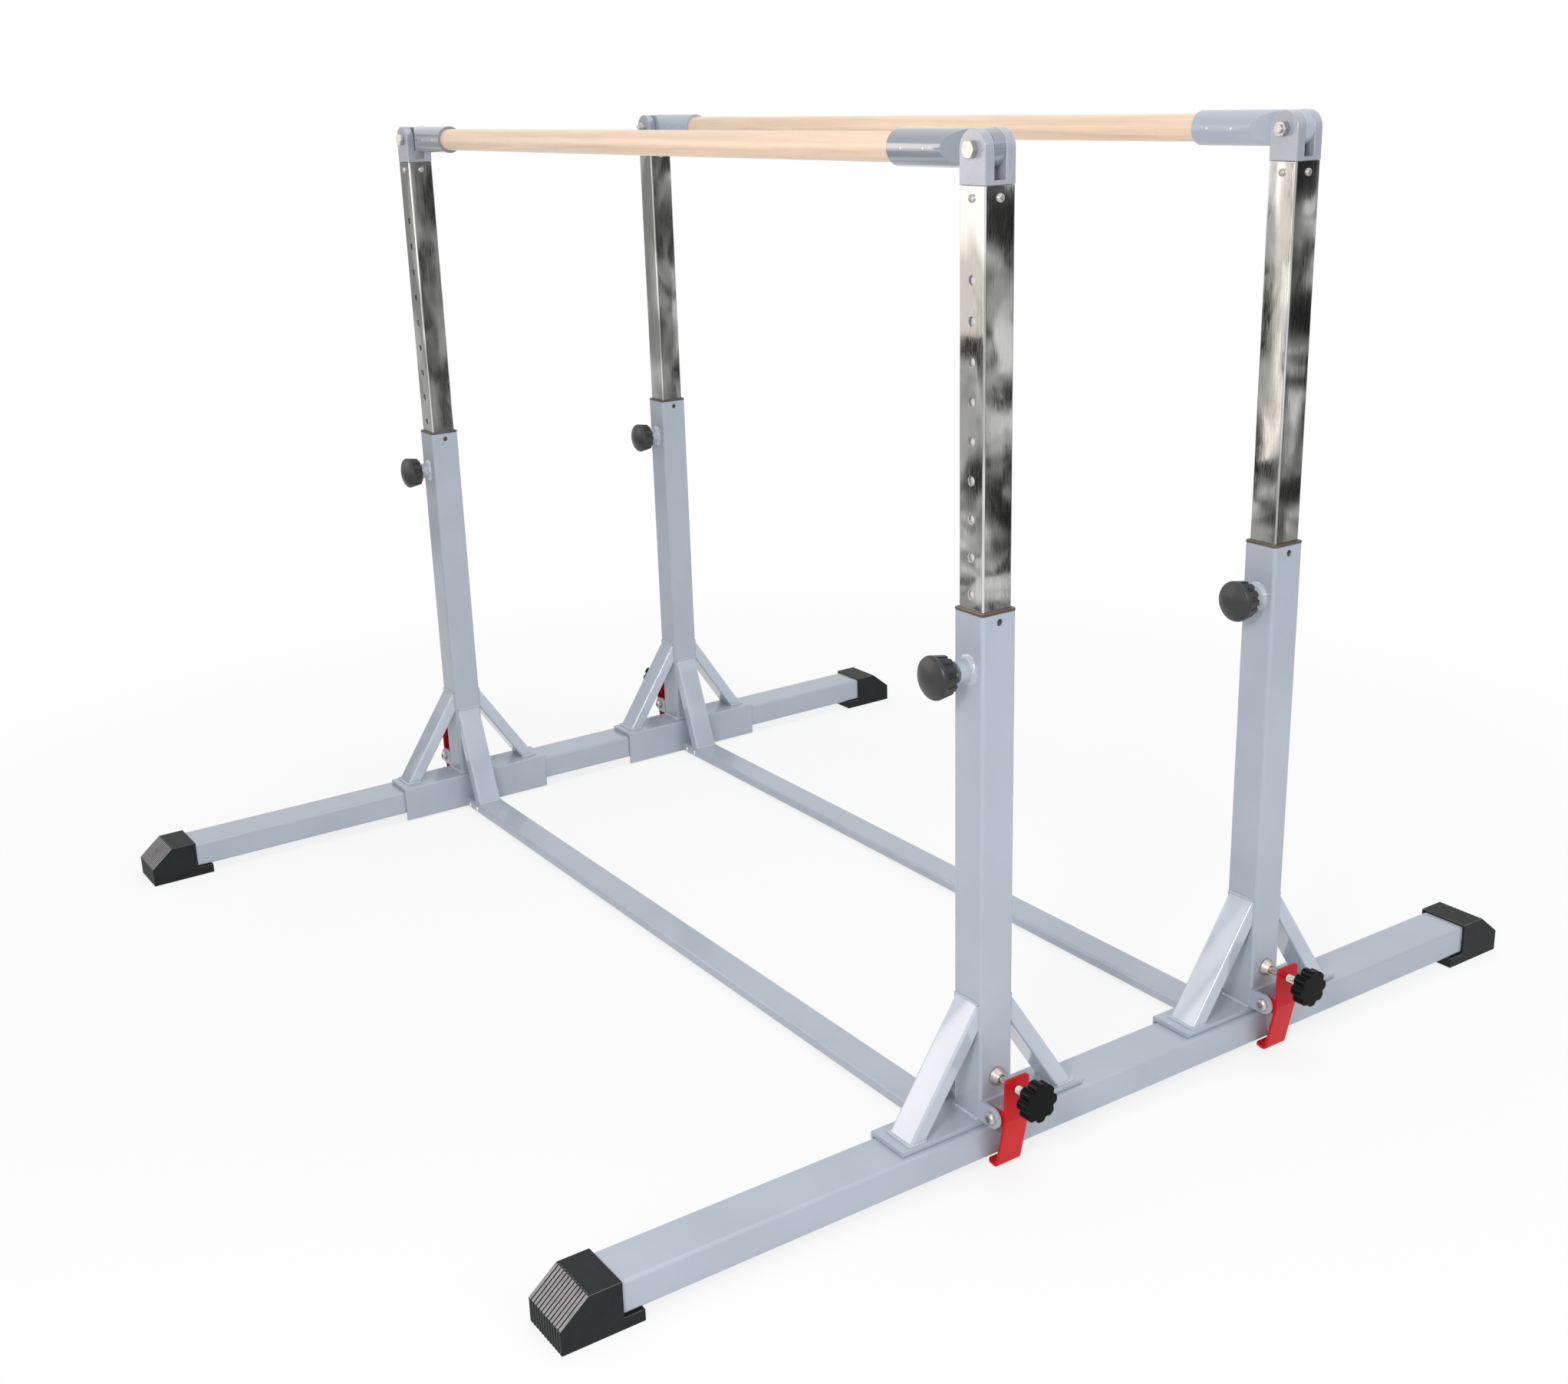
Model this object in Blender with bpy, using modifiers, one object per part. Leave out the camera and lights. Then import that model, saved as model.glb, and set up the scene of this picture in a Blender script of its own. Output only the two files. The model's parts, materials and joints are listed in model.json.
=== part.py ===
"""Parallel bars for training: two wooden bars on height-adjustable, width-adjustable side frames.

Two base rails lie on the floor, each with a rubber foot cap on both ends. Two side frames stand
across them and slide along them, which sets the distance between the bars. Four cam levers with
star knobs grip the rails. In each frame two square chrome tubes slide in the posts and are held
by spring plungers, and a wooden bar is hinged between their clevis heads.

X runs along the bars (near side +X), Y along the base rails, Z up, floor at Z = 0. Metres.
"""
import bpy
import bmesh
from math import asin, atan2, cos, degrees, pi, radians, sin, sqrt, tan
from mathutils import Matrix, Vector

for item in list(bpy.data.objects):
    bpy.data.objects.remove(item, do_unlink=True)

# Layout of the frames
POST_SPACING = 1.773        # axis of the near posts to axis of the far posts
FRONT_FRAME_Y = -0.212      # where the front frame stands along the rails
REAR_FRAME_Y = 0.351
FIT_GAP = 0.0003            # between pieces that touch or are welded
SLIDE_GAP = 0.0005          # saddle round the rail
FLOOR_GAP = 0.003           # under everything that hangs from the rails

# Modelling aids
OVERCUT = 0.010             # a cutter runs this far past the face that it cuts
WELD_DISTANCE = 0.00001     # points closer than this become one
SHARP_ANGLE = 35            # degrees between faces that still shade as one
LEAST_CORNER = 0.0005       # smallest inner corner of a square tube

# Base rails
RAIL_WIDTH = 0.080
RAIL_HEIGHT = 0.050
RAIL_WALL = 0.0025
RAIL_CORNER = 0.006
RAIL_BARE_LENGTH = 1.690    # between the end caps

# Rubber end caps, each a wedge nose on a foot that also lifts the rail
FOOT_HEIGHT = 0.018
CAP_WALL = 0.004
CAP_LENGTH = 0.092
CAP_FLAT = 0.049
CAP_NOSE = 0.0365
CAP_HEEL = 0.031
CAP_SOCKET = 0.045
GROOVE_COUNT = 11
GROOVE_PITCH = 0.0074
GROOVE_WIDTH = 0.0018
GROOVE_DEPTH = 0.0025

# Saddles, an angle over the top and the inner side of the rail
SADDLE_LENGTH = 0.342
SADDLE_TOP_PLATE = 0.008
SADDLE_SIDE_PLATE = 0.005
SADDLE_CORNER = 0.003

# Posts
POST_WIDTH = 0.060
POST_WALL = 0.0025
POST_CORNER = 0.006
POST_TOP = 0.835
RIVET_HOLE = 0.009
RIVET_DROP = 0.0115         # below the post's top

# Braces of flat tube
BRACE_WIDTH = 0.050
BRACE_DEPTH = 0.025
BRACE_WALL = 0.002
BRACE_CORNER = 0.004
SIDE_BRACE_TOP = 0.262
SIDE_BRACE_FOOT = 0.154     # outer face on the saddle, from the post's axis
INNER_BRACE_TOP = 0.223
INNER_BRACE_FOOT = 0.107    # outer face on the floor tube

# Floor tubes between the saddles
FLOOR_TUBE_WIDTH = 0.060
FLOOR_TUBE_HEIGHT = 0.020
FLOOR_TUBE_WALL = 0.002
FLOOR_TUBE_CORNER = 0.0055

# Clevis heads, tangs and bar sockets
PIVOT_HEIGHT = 1.431
CLEVIS_HEIGHT = 0.044       # pivot above the clevis's foot
CLEVIS_SLOT = 0.019
CLEVIS_FLOOR = 0.006        # from the clevis's foot up to the slot's bottom
CLEVIS_SPIGOT = 0.036
CLEVIS_EDGE = 0.0012
PIVOT_BOLT = 0.012
BOLT_PLAY = 0.0004
PIVOT_HEAD = 0.021
PIVOT_HEAD_THICK = 0.008
PIVOT_NUT = 0.019
PIVOT_NUT_THICK = 0.010
PIVOT_BOLT_TIP = 0.004
SOCKET_DIAMETER = 0.050
SOCKET_REACH = 0.175        # from the pivot to the socket's mouth
SOCKET_DEPTH = 0.090
TANG_SHOULDER = 0.028       # the flat tang ends here
CHEEK_END = 0.064           # the sloping cheeks run out here
BAR_DIAMETER = 0.040

# Sliding chrome tubes and the guide sleeves in the posts
TUBE_WIDTH = 0.050
TUBE_WALL = 0.0025
TUBE_CORNER = 0.004
TUBE_LENGTH = 0.782
TUBE_PLAY = 0.0009          # round the tube, inside its guide
HOLE_COUNT = 13
HOLE_PITCH = 0.0515
HOLE_DROP = 0.1155          # top hole below the tube's top
HOLE_SIZE = 0.013
GUIDE_LENGTH = 0.042
GUIDE_RIM = 0.0035          # its collar on the post's top edge
GUIDE_INSET = 0.0005        # the collar in from the post's faces

# Spring plungers on the posts
PLUNGER_DROP = 0.0785       # below the post's top
BOSS_DIAMETER = 0.031
BOSS_LENGTH = 0.0235
WELD_DIAMETER = 0.044
WELD_EDGE = 0.0005          # thickness of the weld where it runs out
BUSH_SHANK = 0.016
BUSH_COLLAR = 0.020
BUSH_COLLAR_THICK = 0.0075
PIN_DIAMETER = 0.010
PIN_TIP_GAP = 0.0005        # drawn back by this from the sliding tube
PLUNGER_KNOB = 0.062
PLUNGER_WAIST = 0.055
PLUNGER_SKIRT = 0.028
PLUNGER_LIP = 0.004
PLUNGER_DOME = 0.007
PLUNGER_STANDOFF = 0.001    # back of the knob from the boss
PLUNGER_RECESS = 0.016
RECESS_PLAY = 0.001         # round the boss, which it slides over
PULLED_OUT = 0.0125         # the front near plunger stands drawn out by this
FLUTE_COUNT = 8
FLUTE_WIDTH = 0.009
FLUTE_START = 0.0011        # depth at the lip
FLUTE_DEPTH = 0.0028        # depth at the back

# Rail clamps: bracket, bent lever, swivel pad, stud and star knob
EAR_REACH = 0.0243          # pivot from the post's outer face
EAR_RADIUS = 0.016
EAR_THICK = 0.006
BRACKET_WEB = 0.005
CLAMP_PIVOT_Z = 0.093
CLAMP_BOLT = 0.008
CLAMP_HEAD = 0.013
CLAMP_HEAD_THICK = 0.0055
CLAMP_NUT_THICK = 0.0065
CLAMP_BOLT_TIP = 0.003
LEVER_WIDTH = 0.044
LEVER_THICK = 0.005
LEVER_STANDOFF = 0.0465     # outer face of the lever from the post
LEVER_TOP = 0.160
LEVER_BEND = 0.006
LEVER_ROUND = 0.006         # corners at both ends of the strip
LUG_RADIUS = 0.0125
LUG_THICK = 0.005
LUG_INSET = 0.0002          # in from the lever's edges
HOOK_CORNER_OUT = 0.0165    # bend of the hook, outside the rail
HOOK_LAP = 0.003            # how far the lip reaches under the rail
HOOK_GAP = 0.001
HOOK_DROP = 0.003
STUD_Z = 0.141
STUD_DIAMETER = 0.012
STUD_PLAY = 0.0005
PAD_DIAMETER = 0.028
PAD_RIM = 0.003
PAD_LENGTH = 0.013
PAD_NECK = 0.019
PAD_FLOOR = 0.0055
STAR_DIAMETER = 0.060
STAR_THICK = 0.020
STAR_EDGE = 0.002
STAR_STANDOFF = 0.0305      # back of the star from the lever's outer face
STAR_HUB = 0.024
STAR_HUB_LENGTH = 0.007
STAR_LOBES = 8
STAR_LOBE_DEPTH = 0.0045
STUD_GRIP = 0.016           # how far the stud goes into the knob

# Sizes that follow from the ones above
POST_X = POST_SPACING / 2
POST_HALF = POST_WIDTH / 2
RAIL_TOP = FOOT_HEIGHT + RAIL_HEIGHT
SADDLE_TOP = RAIL_TOP + SLIDE_GAP + SADDLE_TOP_PLATE
SADDLE_SIDE = RAIL_WIDTH / 2 + SLIDE_GAP + SADDLE_SIDE_PLATE
FLOOR_TUBE_TOP = FLOOR_GAP + FLOOR_TUBE_HEIGHT
TUBE_HALF = TUBE_WIDTH / 2
PLUNGER_Z = POST_TOP - PLUNGER_DROP
GUIDE_BORE = TUBE_WIDTH + 2 * TUBE_PLAY
LEVER_FACE = POST_HALF + LEVER_STANDOFF
CLAMP_PIVOT_X = POST_HALF + EAR_REACH

model = bpy.data.collections.new("parallel_bars")
bpy.context.scene.collection.children.link(model)
PLANES = {
    "XY": Matrix.Identity(4),
    "XZ": Matrix(((1, 0, 0, 0), (0, 0, -1, 0), (0, 1, 0, 0), (0, 0, 0, 1))),
    "YZ": Matrix(((0, 0, 1, 0), (1, 0, 0, 0), (0, 1, 0, 0), (0, 0, 0, 1))),
}
AXES = {
    "X": Matrix.Rotation(radians(90), 4, "Y"),
    "Y": Matrix.Rotation(radians(-90), 4, "X"),
    "Z": Matrix.Identity(4),
}


def material(name, colour, roughness, metallic=0.0):
    mat = bpy.data.materials.new(name)
    mat.use_nodes = True
    shader = mat.node_tree.nodes["Principled BSDF"]
    shader.inputs["Base Color"].default_value = (*colour, 1.0)
    shader.inputs["Roughness"].default_value = roughness
    shader.inputs["Metallic"].default_value = metallic
    return mat


PAINT = material("grey_powder_coat", (0.44, 0.51, 0.58), 0.40)
CHROME = material("chrome", (0.78, 0.78, 0.80), 0.12, 1.0)
ZINC = material("zinc_plated_steel", (0.62, 0.60, 0.55), 0.30, 1.0)
BRASS = material("brass", (0.72, 0.52, 0.22), 0.30, 1.0)
WOOD = material("ash_wood", (0.84, 0.66, 0.42), 0.45)
RUBBER = material("black_rubber", (0.035, 0.036, 0.037), 0.65)
PLASTIC = material("black_plastic", (0.03, 0.03, 0.03), 0.45)
GLOSS = material("glossy_black_plastic", (0.008, 0.008, 0.009), 0.15)
RED = material("red_powder_coat", (0.58, 0.025, 0.035), 0.35)


def as_object(mesh):
    ob = bpy.data.objects.new("shape", mesh)
    model.objects.link(ob)
    return ob


def evaluated_mesh(ob):
    graph = bpy.context.evaluated_depsgraph_get()
    return bpy.data.meshes.new_from_object(ob.evaluated_get(graph))


def tidy(mesh):
    """Weld the seams of a mesh and turn its faces outward."""
    bm = bmesh.new()
    bm.from_mesh(mesh)
    bmesh.ops.remove_doubles(bm, verts=bm.verts, dist=WELD_DISTANCE)
    bmesh.ops.recalc_face_normals(bm, faces=bm.faces)
    bm.to_mesh(mesh)
    bm.free()
    return mesh


def apply_modifiers(ob):
    mesh = evaluated_mesh(ob)
    ob.modifiers.clear()
    ob.data = mesh
    return ob


def outline(loops, thickness, plane="XY", centre=(0, 0, 0)):
    """A flat outline, with any further loops as holes, given a thickness about its plane."""
    curve = bpy.data.curves.new("outline", "CURVE")
    curve.dimensions = "2D"
    curve.fill_mode = "BOTH"
    curve.extrude = thickness / 2
    for loop in loops:
        spline = curve.splines.new("POLY")
        spline.points.add(len(loop) - 1)
        for point, (across, up) in zip(spline.points, loop):
            point.co = (across, up, 0, 1)
        spline.use_cyclic_u = True
    guide = as_object(curve)
    mesh = tidy(evaluated_mesh(guide))
    bpy.data.objects.remove(guide)
    mesh.transform(Matrix.Translation(centre) @ PLANES[plane])
    return as_object(mesh)


def box(low, high):
    bm = bmesh.new()
    bmesh.ops.create_cube(bm, size=1)
    size = [b - a for a, b in zip(low, high)]
    middle = [(a + b) / 2 for a, b in zip(low, high)]
    bmesh.ops.transform(bm, verts=bm.verts, matrix=Matrix.Translation(middle) @ Matrix.Diagonal((*size, 1)))
    mesh = bpy.data.meshes.new("box")
    bm.to_mesh(mesh)
    bm.free()
    return as_object(mesh)


def rod(diameter, start, end, axis, at=(0, 0), segments=16):
    """A round bar from start to end along an axis; at holds the other two coordinates in X, Y, Z order."""
    bm = bmesh.new()
    bmesh.ops.create_cone(bm, cap_ends=True, segments=segments, radius1=diameter / 2,
                          radius2=diameter / 2, depth=abs(end - start))
    place = list(at)
    place.insert("XYZ".index(axis), (start + end) / 2)
    spin = Matrix.Rotation(pi / segments, 4, "Z")
    bmesh.ops.transform(bm, verts=bm.verts, matrix=Matrix.Translation(place) @ AXES[axis] @ spin)
    mesh = bpy.data.meshes.new("rod")
    bm.to_mesh(mesh)
    bm.free()
    return as_object(mesh)


def hexagon(flats, start, end, axis):
    return rod(flats * 2 / sqrt(3), start, end, axis, segments=6)


def turned(profile, axis, at=(0, 0), segments=16, sign=1):
    """Revolve (radius, height) points about an axis; sign -1 turns the heights round."""
    mesh = bpy.data.meshes.new("turned")
    count = len(profile)
    edges = [(i, i + 1) for i in range(count - 1)]
    if profile[0][0] > 0:
        edges.append((count - 1, 0))
    mesh.from_pydata([(radius, 0, height) for radius, height in profile], edges, [])
    ob = as_object(mesh)
    screw = ob.modifiers.new("Screw", "SCREW")
    screw.steps = screw.render_steps = segments
    screw.use_merge_vertices = True
    screw.merge_threshold = WELD_DISTANCE
    apply_modifiers(ob)
    tidy(ob.data)
    place = list(at)
    place.insert("XYZ".index(axis), 0)
    reverse = Matrix.Identity(4) if sign > 0 else Matrix.Rotation(pi, 4, "X")
    ob.data.transform(Matrix.Translation(place) @ AXES[axis] @ reverse)
    return ob


def combine(ob, tool, operation="DIFFERENCE"):
    """Cut, join or intersect with a second shape, which is used up."""
    mod = ob.modifiers.new(operation.title(), "BOOLEAN")
    mod.operation = operation
    mod.object = tool
    apply_modifiers(ob)
    bpy.data.objects.remove(tool)
    return ob


def bevel(ob, width, angle=40):
    mod = ob.modifiers.new("Bevel", "BEVEL")
    mod.width = width
    mod.segments = 1
    mod.limit_method = "ANGLE"
    mod.angle_limit = radians(angle)
    return apply_modifiers(ob)


def arc(centre, radius, first, last, steps):
    """Points on an arc between two angles in degrees, ends included."""
    angles = [radians(first + (last - first) * i / steps) for i in range(steps + 1)]
    return [(centre[0] + radius * cos(angle), centre[1] + radius * sin(angle)) for angle in angles]


def rounded_rectangle(width, height, radius, steps=3):
    points = []
    for across, up, first in ((1, 1, 0), (-1, 1, 90), (-1, -1, 180), (1, -1, 270)):
        corner = (across * (width / 2 - radius), up * (height / 2 - radius))
        points += arc(corner, radius, first, first + 90, steps)
    return points


def side_points(path, offset, radius, steps=2):
    """One side of a bent strip: the path moved sideways, with its bends rounded."""
    path = [Vector(point) for point in path]
    out = []
    for i, point in enumerate(path):
        before = (point - path[i - 1]).normalized() if i else None
        after = (path[i + 1] - point).normalized() if i < len(path) - 1 else None
        if before is None or after is None:
            along = after or before
            out.append(tuple(point + offset * Vector((-along.y, along.x))))
            continue
        cross = before.x * after.y - before.y * after.x
        half = atan2(abs(cross), before.dot(after)) / 2
        hand = 1 if cross > 0 else -1
        centre = point + Vector((-before.y, before.x)) * hand * radius - before * radius * tan(half)
        first = degrees(atan2(before.x * -hand, before.y * hand))
        out += arc(centre, radius - hand * offset, first, first + hand * degrees(2 * half), steps)
    return out


def bent_strip(path, thickness, radius):
    left = side_points(path, thickness / 2, radius)
    right = side_points(path, -thickness / 2, radius)
    return left + right[::-1]


def mirrored(points, side):
    """An outline with its first coordinate turned round for the far side."""
    return [(side * across, up) for across, up in points]


def square_tube(width, height, wall, corner, length, plane, centre=(0, 0, 0), steps=2):
    outer = rounded_rectangle(width, height, corner, steps)
    inner = rounded_rectangle(width - 2 * wall, height - 2 * wall, max(corner - wall, LEAST_CORNER), 1)
    return outline([outer, inner], length, plane, centre)


def repeated(ob, count, step):
    """A row of copies of a cutter, as one mesh."""
    row = ob.modifiers.new("Array", "ARRAY")
    row.count = count
    row.use_relative_offset = False
    row.use_constant_offset = True
    row.constant_offset_displace = step
    return apply_modifiers(ob)


def finish(ob, name, mat, parent=None, at=(0, 0, 0)):
    ob.name = name
    ob.data.name = name
    ob.data.materials.clear()
    ob.data.materials.append(mat)
    ob.data.shade_smooth()
    ob.data.set_sharp_from_angle(angle=radians(SHARP_ANGLE))
    ob.parent = parent
    ob.location = at
    return ob


def empty(name, at, parent=None):
    ob = bpy.data.objects.new(name, None)
    model.objects.link(ob)
    ob.parent = parent
    ob.location = at
    return ob


def bolt_with_nut(head, head_thick, shank, grip, nut, nut_thick, tip, facing):
    """A hexagon bolt along Y through a grip with its nut on, head on the side that facing names."""
    face = facing * (grip / 2 + FIT_GAP)
    bolt = hexagon(head, face, face + facing * head_thick, "Y")
    shaft = rod(shank, face + facing * head_thick / 2, -face - facing * (nut_thick + tip), "Y", segments=8)
    combine(bolt, hexagon(nut, -face, -face - facing * nut_thick, "Y"), "UNION")
    return combine(bolt, shaft, "UNION")


# Base rails and their end caps
def base_rail(name, x):
    length = RAIL_BARE_LENGTH + 2 * (CAP_SOCKET - FIT_GAP)
    rail = square_tube(RAIL_WIDTH, RAIL_HEIGHT, RAIL_WALL, RAIL_CORNER, length, "XZ")
    return finish(rail, name, PAINT, None, (x, 0, FOOT_HEIGHT + RAIL_HEIGHT / 2))


def end_cap(name, x, end):
    """A cap on the rail's end towards end (+1 or -1); its heel runs on under the rail."""
    top = RAIL_TOP + CAP_WALL
    profile = [(-CAP_HEEL, 0), (CAP_LENGTH, 0), (CAP_LENGTH, CAP_NOSE), (CAP_FLAT, top), (0, top),
               (0, FOOT_HEIGHT - FIT_GAP), (-CAP_HEEL, FOOT_HEIGHT - FIT_GAP)]
    cap = outline([mirrored(profile, end)], RAIL_WIDTH + 2 * CAP_WALL, "YZ")
    wide = RAIL_WIDTH / 2 + FIT_GAP
    mouth, floor = sorted((-end * OVERCUT, end * CAP_SOCKET))
    combine(cap, box((-wide, mouth, FOOT_HEIGHT - FIT_GAP), (wide, floor, RAIL_TOP + FIT_GAP)))
    # ribs on the slope and the nose, left between sawn grooves
    slope = Vector((CAP_LENGTH - CAP_FLAT, CAP_NOSE - top)).normalized()
    start = Vector((CAP_FLAT, top)) + Vector((slope.y, -slope.x)) * GROOVE_DEPTH
    bottom = CAP_LENGTH - GROOVE_DEPTH
    corner = start + slope * ((bottom - start.x) / slope.x)
    beyond = CAP_LENGTH + OVERCUT
    groove = [(start.x - GROOVE_DEPTH, top + OVERCUT), tuple(start), tuple(corner), (bottom, -OVERCUT),
              (beyond, -OVERCUT), (beyond, top + OVERCUT)]
    first = -(GROOVE_COUNT - 1) / 2 * GROOVE_PITCH
    cutter = outline([mirrored(groove, end)], GROOVE_WIDTH, "YZ", (first, 0, 0))
    combine(cap, repeated(cutter, GROOVE_COUNT, (GROOVE_PITCH, 0, 0)))
    return finish(cap, name, RUBBER, None, (x, end * RAIL_BARE_LENGTH / 2, 0))


# Side frames. In these functions side is +1 for the near post and -1 for the far one.
def saddle(name, side, frame):
    under = SADDLE_TOP - SADDLE_TOP_PLATE
    within = SADDLE_SIDE - SADDLE_SIDE_PLATE
    edge = POST_HALF - FIT_GAP
    bend = arc((-SADDLE_SIDE + SADDLE_CORNER, SADDLE_TOP - SADDLE_CORNER), SADDLE_CORNER, 90, 180, 3)
    profile = [(edge, SADDLE_TOP), *bend, (-SADDLE_SIDE, FLOOR_GAP), (-within, FLOOR_GAP),
               (-within, under), (edge, under)]
    plate = outline([mirrored(profile, side)], SADDLE_LENGTH, "XZ")
    return finish(plate, name, PAINT, frame, (side * POST_X, 0, 0))


def brace(top, foot, floor, turn):
    """Flat tube that leans on the post, cut level just above what it stands on."""
    low, high = Vector((foot, floor)), Vector((POST_HALF, top))
    lean = atan2(foot - POST_HALF, top - floor)
    length = (low - high).length + 4 * BRACE_DEPTH
    middle = (low + high) / 2 - Vector((cos(lean), sin(lean))) * BRACE_DEPTH / 2
    tube = square_tube(BRACE_DEPTH, BRACE_WIDTH, BRACE_WALL, BRACE_CORNER, length, "XY", steps=1)
    tilt = Matrix.Rotation(-lean, 4, "Y")
    tube.data.transform(Matrix.Translation((middle.x, 0, middle.y)) @ tilt)
    keep = box((POST_HALF - POST_WALL / 2, -BRACE_WIDTH, floor + FIT_GAP),
               (foot + BRACE_DEPTH, BRACE_WIDTH, top + BRACE_DEPTH))
    combine(tube, keep, "INTERSECT")
    tube.data.transform(Matrix.Rotation(turn, 4, "Z"))
    return tube


def guide_sleeve():
    """Collar and sleeve in the top of the post that the chrome tube runs in."""
    bottom, top = POST_TOP - GUIDE_LENGTH, POST_TOP + GUIDE_RIM
    seat = POST_TOP - GUIDE_RIM / 2
    within = POST_WIDTH - POST_WALL
    rim = POST_WIDTH - 2 * GUIDE_INSET
    sleeve = outline([rounded_rectangle(within, within, POST_CORNER, 1)], seat + GUIDE_RIM / 2 - bottom, "XY",
                     (0, 0, (seat + GUIDE_RIM / 2 + bottom) / 2))
    collar = outline([rounded_rectangle(rim, rim, POST_CORNER, 2)], top - seat, "XY", (0, 0, (top + seat) / 2))
    combine(sleeve, collar, "UNION")
    bore = rounded_rectangle(GUIDE_BORE, GUIDE_BORE, TUBE_CORNER, 2)
    return combine(sleeve, outline([bore], 3 * GUIDE_LENGTH, "XY", (0, 0, POST_TOP)))


def clamp_bracket(side):
    """A web on the post's outer face with two round-ended ears for the clamp's bolt."""
    low, high = CLAMP_PIVOT_Z - EAR_RADIUS, CLAMP_PIVOT_Z + EAR_RADIUS
    root = POST_HALF - POST_WALL / 2
    width = POST_WIDTH - 2 * FIT_GAP
    ear = [(root, low), *arc((CLAMP_PIVOT_X, CLAMP_PIVOT_Z), EAR_RADIUS, -90, 90, 6), (root, high)]
    bracket = outline([mirrored(ear, side)], width, "XZ")
    between = width / 2 - EAR_THICK
    web, beyond = sorted((side * (POST_HALF + BRACKET_WEB), side * (CLAMP_PIVOT_X + 2 * EAR_RADIUS)))
    return combine(bracket, box((web, -between, low - OVERCUT), (beyond, between, high + OVERCUT)))


def plunger_boss():
    """Boss on the front face of the post, with its weld spreading at the root."""
    radius, root = BOSS_DIAMETER / 2, POST_HALF - POST_WALL / 2
    throat = WELD_DIAMETER / 2 - radius
    weld = arc((WELD_DIAMETER / 2, POST_HALF + WELD_EDGE + throat), throat, 270, 180, 1)
    face = POST_HALF + BOSS_LENGTH
    profile = [(0, root), (WELD_DIAMETER / 2, root), *weld, (radius, face), (0, face)]
    return turned(profile, "Y", (0, PLUNGER_Z), 12, -1)


def post(name, side, frame):
    """Square post with the braces, bracket, boss and guide sleeve that are welded or pressed to it."""
    bottom = SADDLE_TOP + FIT_GAP
    tube = square_tube(POST_WIDTH, POST_WIDTH, POST_WALL, POST_CORNER, POST_TOP - bottom, "XY",
                       (0, 0, (POST_TOP + bottom) / 2))
    for piece in (plunger_boss(), clamp_bracket(side), guide_sleeve()):
        combine(tube, piece, "UNION")
    for turn in (90, -90):
        combine(tube, brace(SIDE_BRACE_TOP, SIDE_BRACE_FOOT, SADDLE_TOP, radians(turn)), "UNION")
    inward = pi if side > 0 else 0
    combine(tube, brace(INNER_BRACE_TOP, INNER_BRACE_FOOT, FLOOR_TUBE_TOP, inward), "UNION")
    # bores for the plunger's bush, the sleeve's rivet and the clamp's bolt
    bush_bore = rod(BUSH_SHANK + 2 * FIT_GAP, -POST_HALF - 2 * BOSS_LENGTH, -POST_HALF + 2 * POST_WALL, "Y",
                    (0, PLUNGER_Z), 12)
    rivet_hole = rod(RIVET_HOLE, POST_HALF - POST_WALL / 2, POST_HALF + POST_WALL, "X",
                     (0, POST_TOP - RIVET_DROP), 8)
    bolt_bore = rod(CLAMP_BOLT + 2 * BOLT_PLAY, -POST_WIDTH, POST_WIDTH, "Y",
                    (side * CLAMP_PIVOT_X, CLAMP_PIVOT_Z), 8)
    for cutter in (bush_bore, rivet_hole, bolt_bore):
        combine(tube, cutter)
    return finish(tube, name, PAINT, frame, (side * POST_X, 0, 0))


def floor_tube(name, frame):
    length = 2 * (POST_X - SADDLE_SIDE - FIT_GAP)
    tube = square_tube(FLOOR_TUBE_WIDTH, FLOOR_TUBE_HEIGHT, FLOOR_TUBE_WALL, FLOOR_TUBE_CORNER, length, "YZ")
    return finish(tube, name, PAINT, frame, (0, 0, FLOOR_GAP + FLOOR_TUBE_HEIGHT / 2))


def clamp_bolt(name, parent):
    bolt = bolt_with_nut(CLAMP_HEAD, CLAMP_HEAD_THICK, CLAMP_BOLT, POST_WIDTH, CLAMP_HEAD,
                         CLAMP_NUT_THICK, CLAMP_BOLT_TIP, -1)
    return finish(bolt, name, ZINC, parent)


def plunger_bush(name, parent, at):
    """Brass bush screwed into the boss; the pin runs in it."""
    inside, seat = POST_HALF - POST_WALL, POST_HALF + BOSS_LENGTH + FIT_GAP
    bore, shank, collar = PIN_DIAMETER / 2 + FIT_GAP, BUSH_SHANK / 2, BUSH_COLLAR / 2
    profile = [(bore, inside), (shank, inside), (shank, seat), (collar, seat),
               (collar, seat + BUSH_COLLAR_THICK), (bore, seat + BUSH_COLLAR_THICK)]
    return finish(turned(profile, "Y", segments=12, sign=-1), name, BRASS, parent, at)


# Sliding tubes, heads and bars. Facing is the side of the hole row and of the bolt heads:
# -1 in the front frame; the rear unit is the same one turned round, so there it is +1.
def inner_tube(name, facing, parent):
    top = -CLEVIS_HEIGHT
    tube = square_tube(TUBE_WIDTH, TUBE_WIDTH, TUBE_WALL, TUBE_CORNER, TUBE_LENGTH, "XY",
                       (0, 0, top - TUBE_LENGTH / 2))
    face = facing * TUBE_HALF
    hole = rod(HOLE_SIZE, face + facing * OVERCUT, face - facing * OVERCUT, "Y", (0, top - HOLE_DROP), 8)
    combine(tube, repeated(hole, HOLE_COUNT, (0, 0, -HOLE_PITCH)))
    return finish(tube, name, CHROME, parent)


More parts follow.
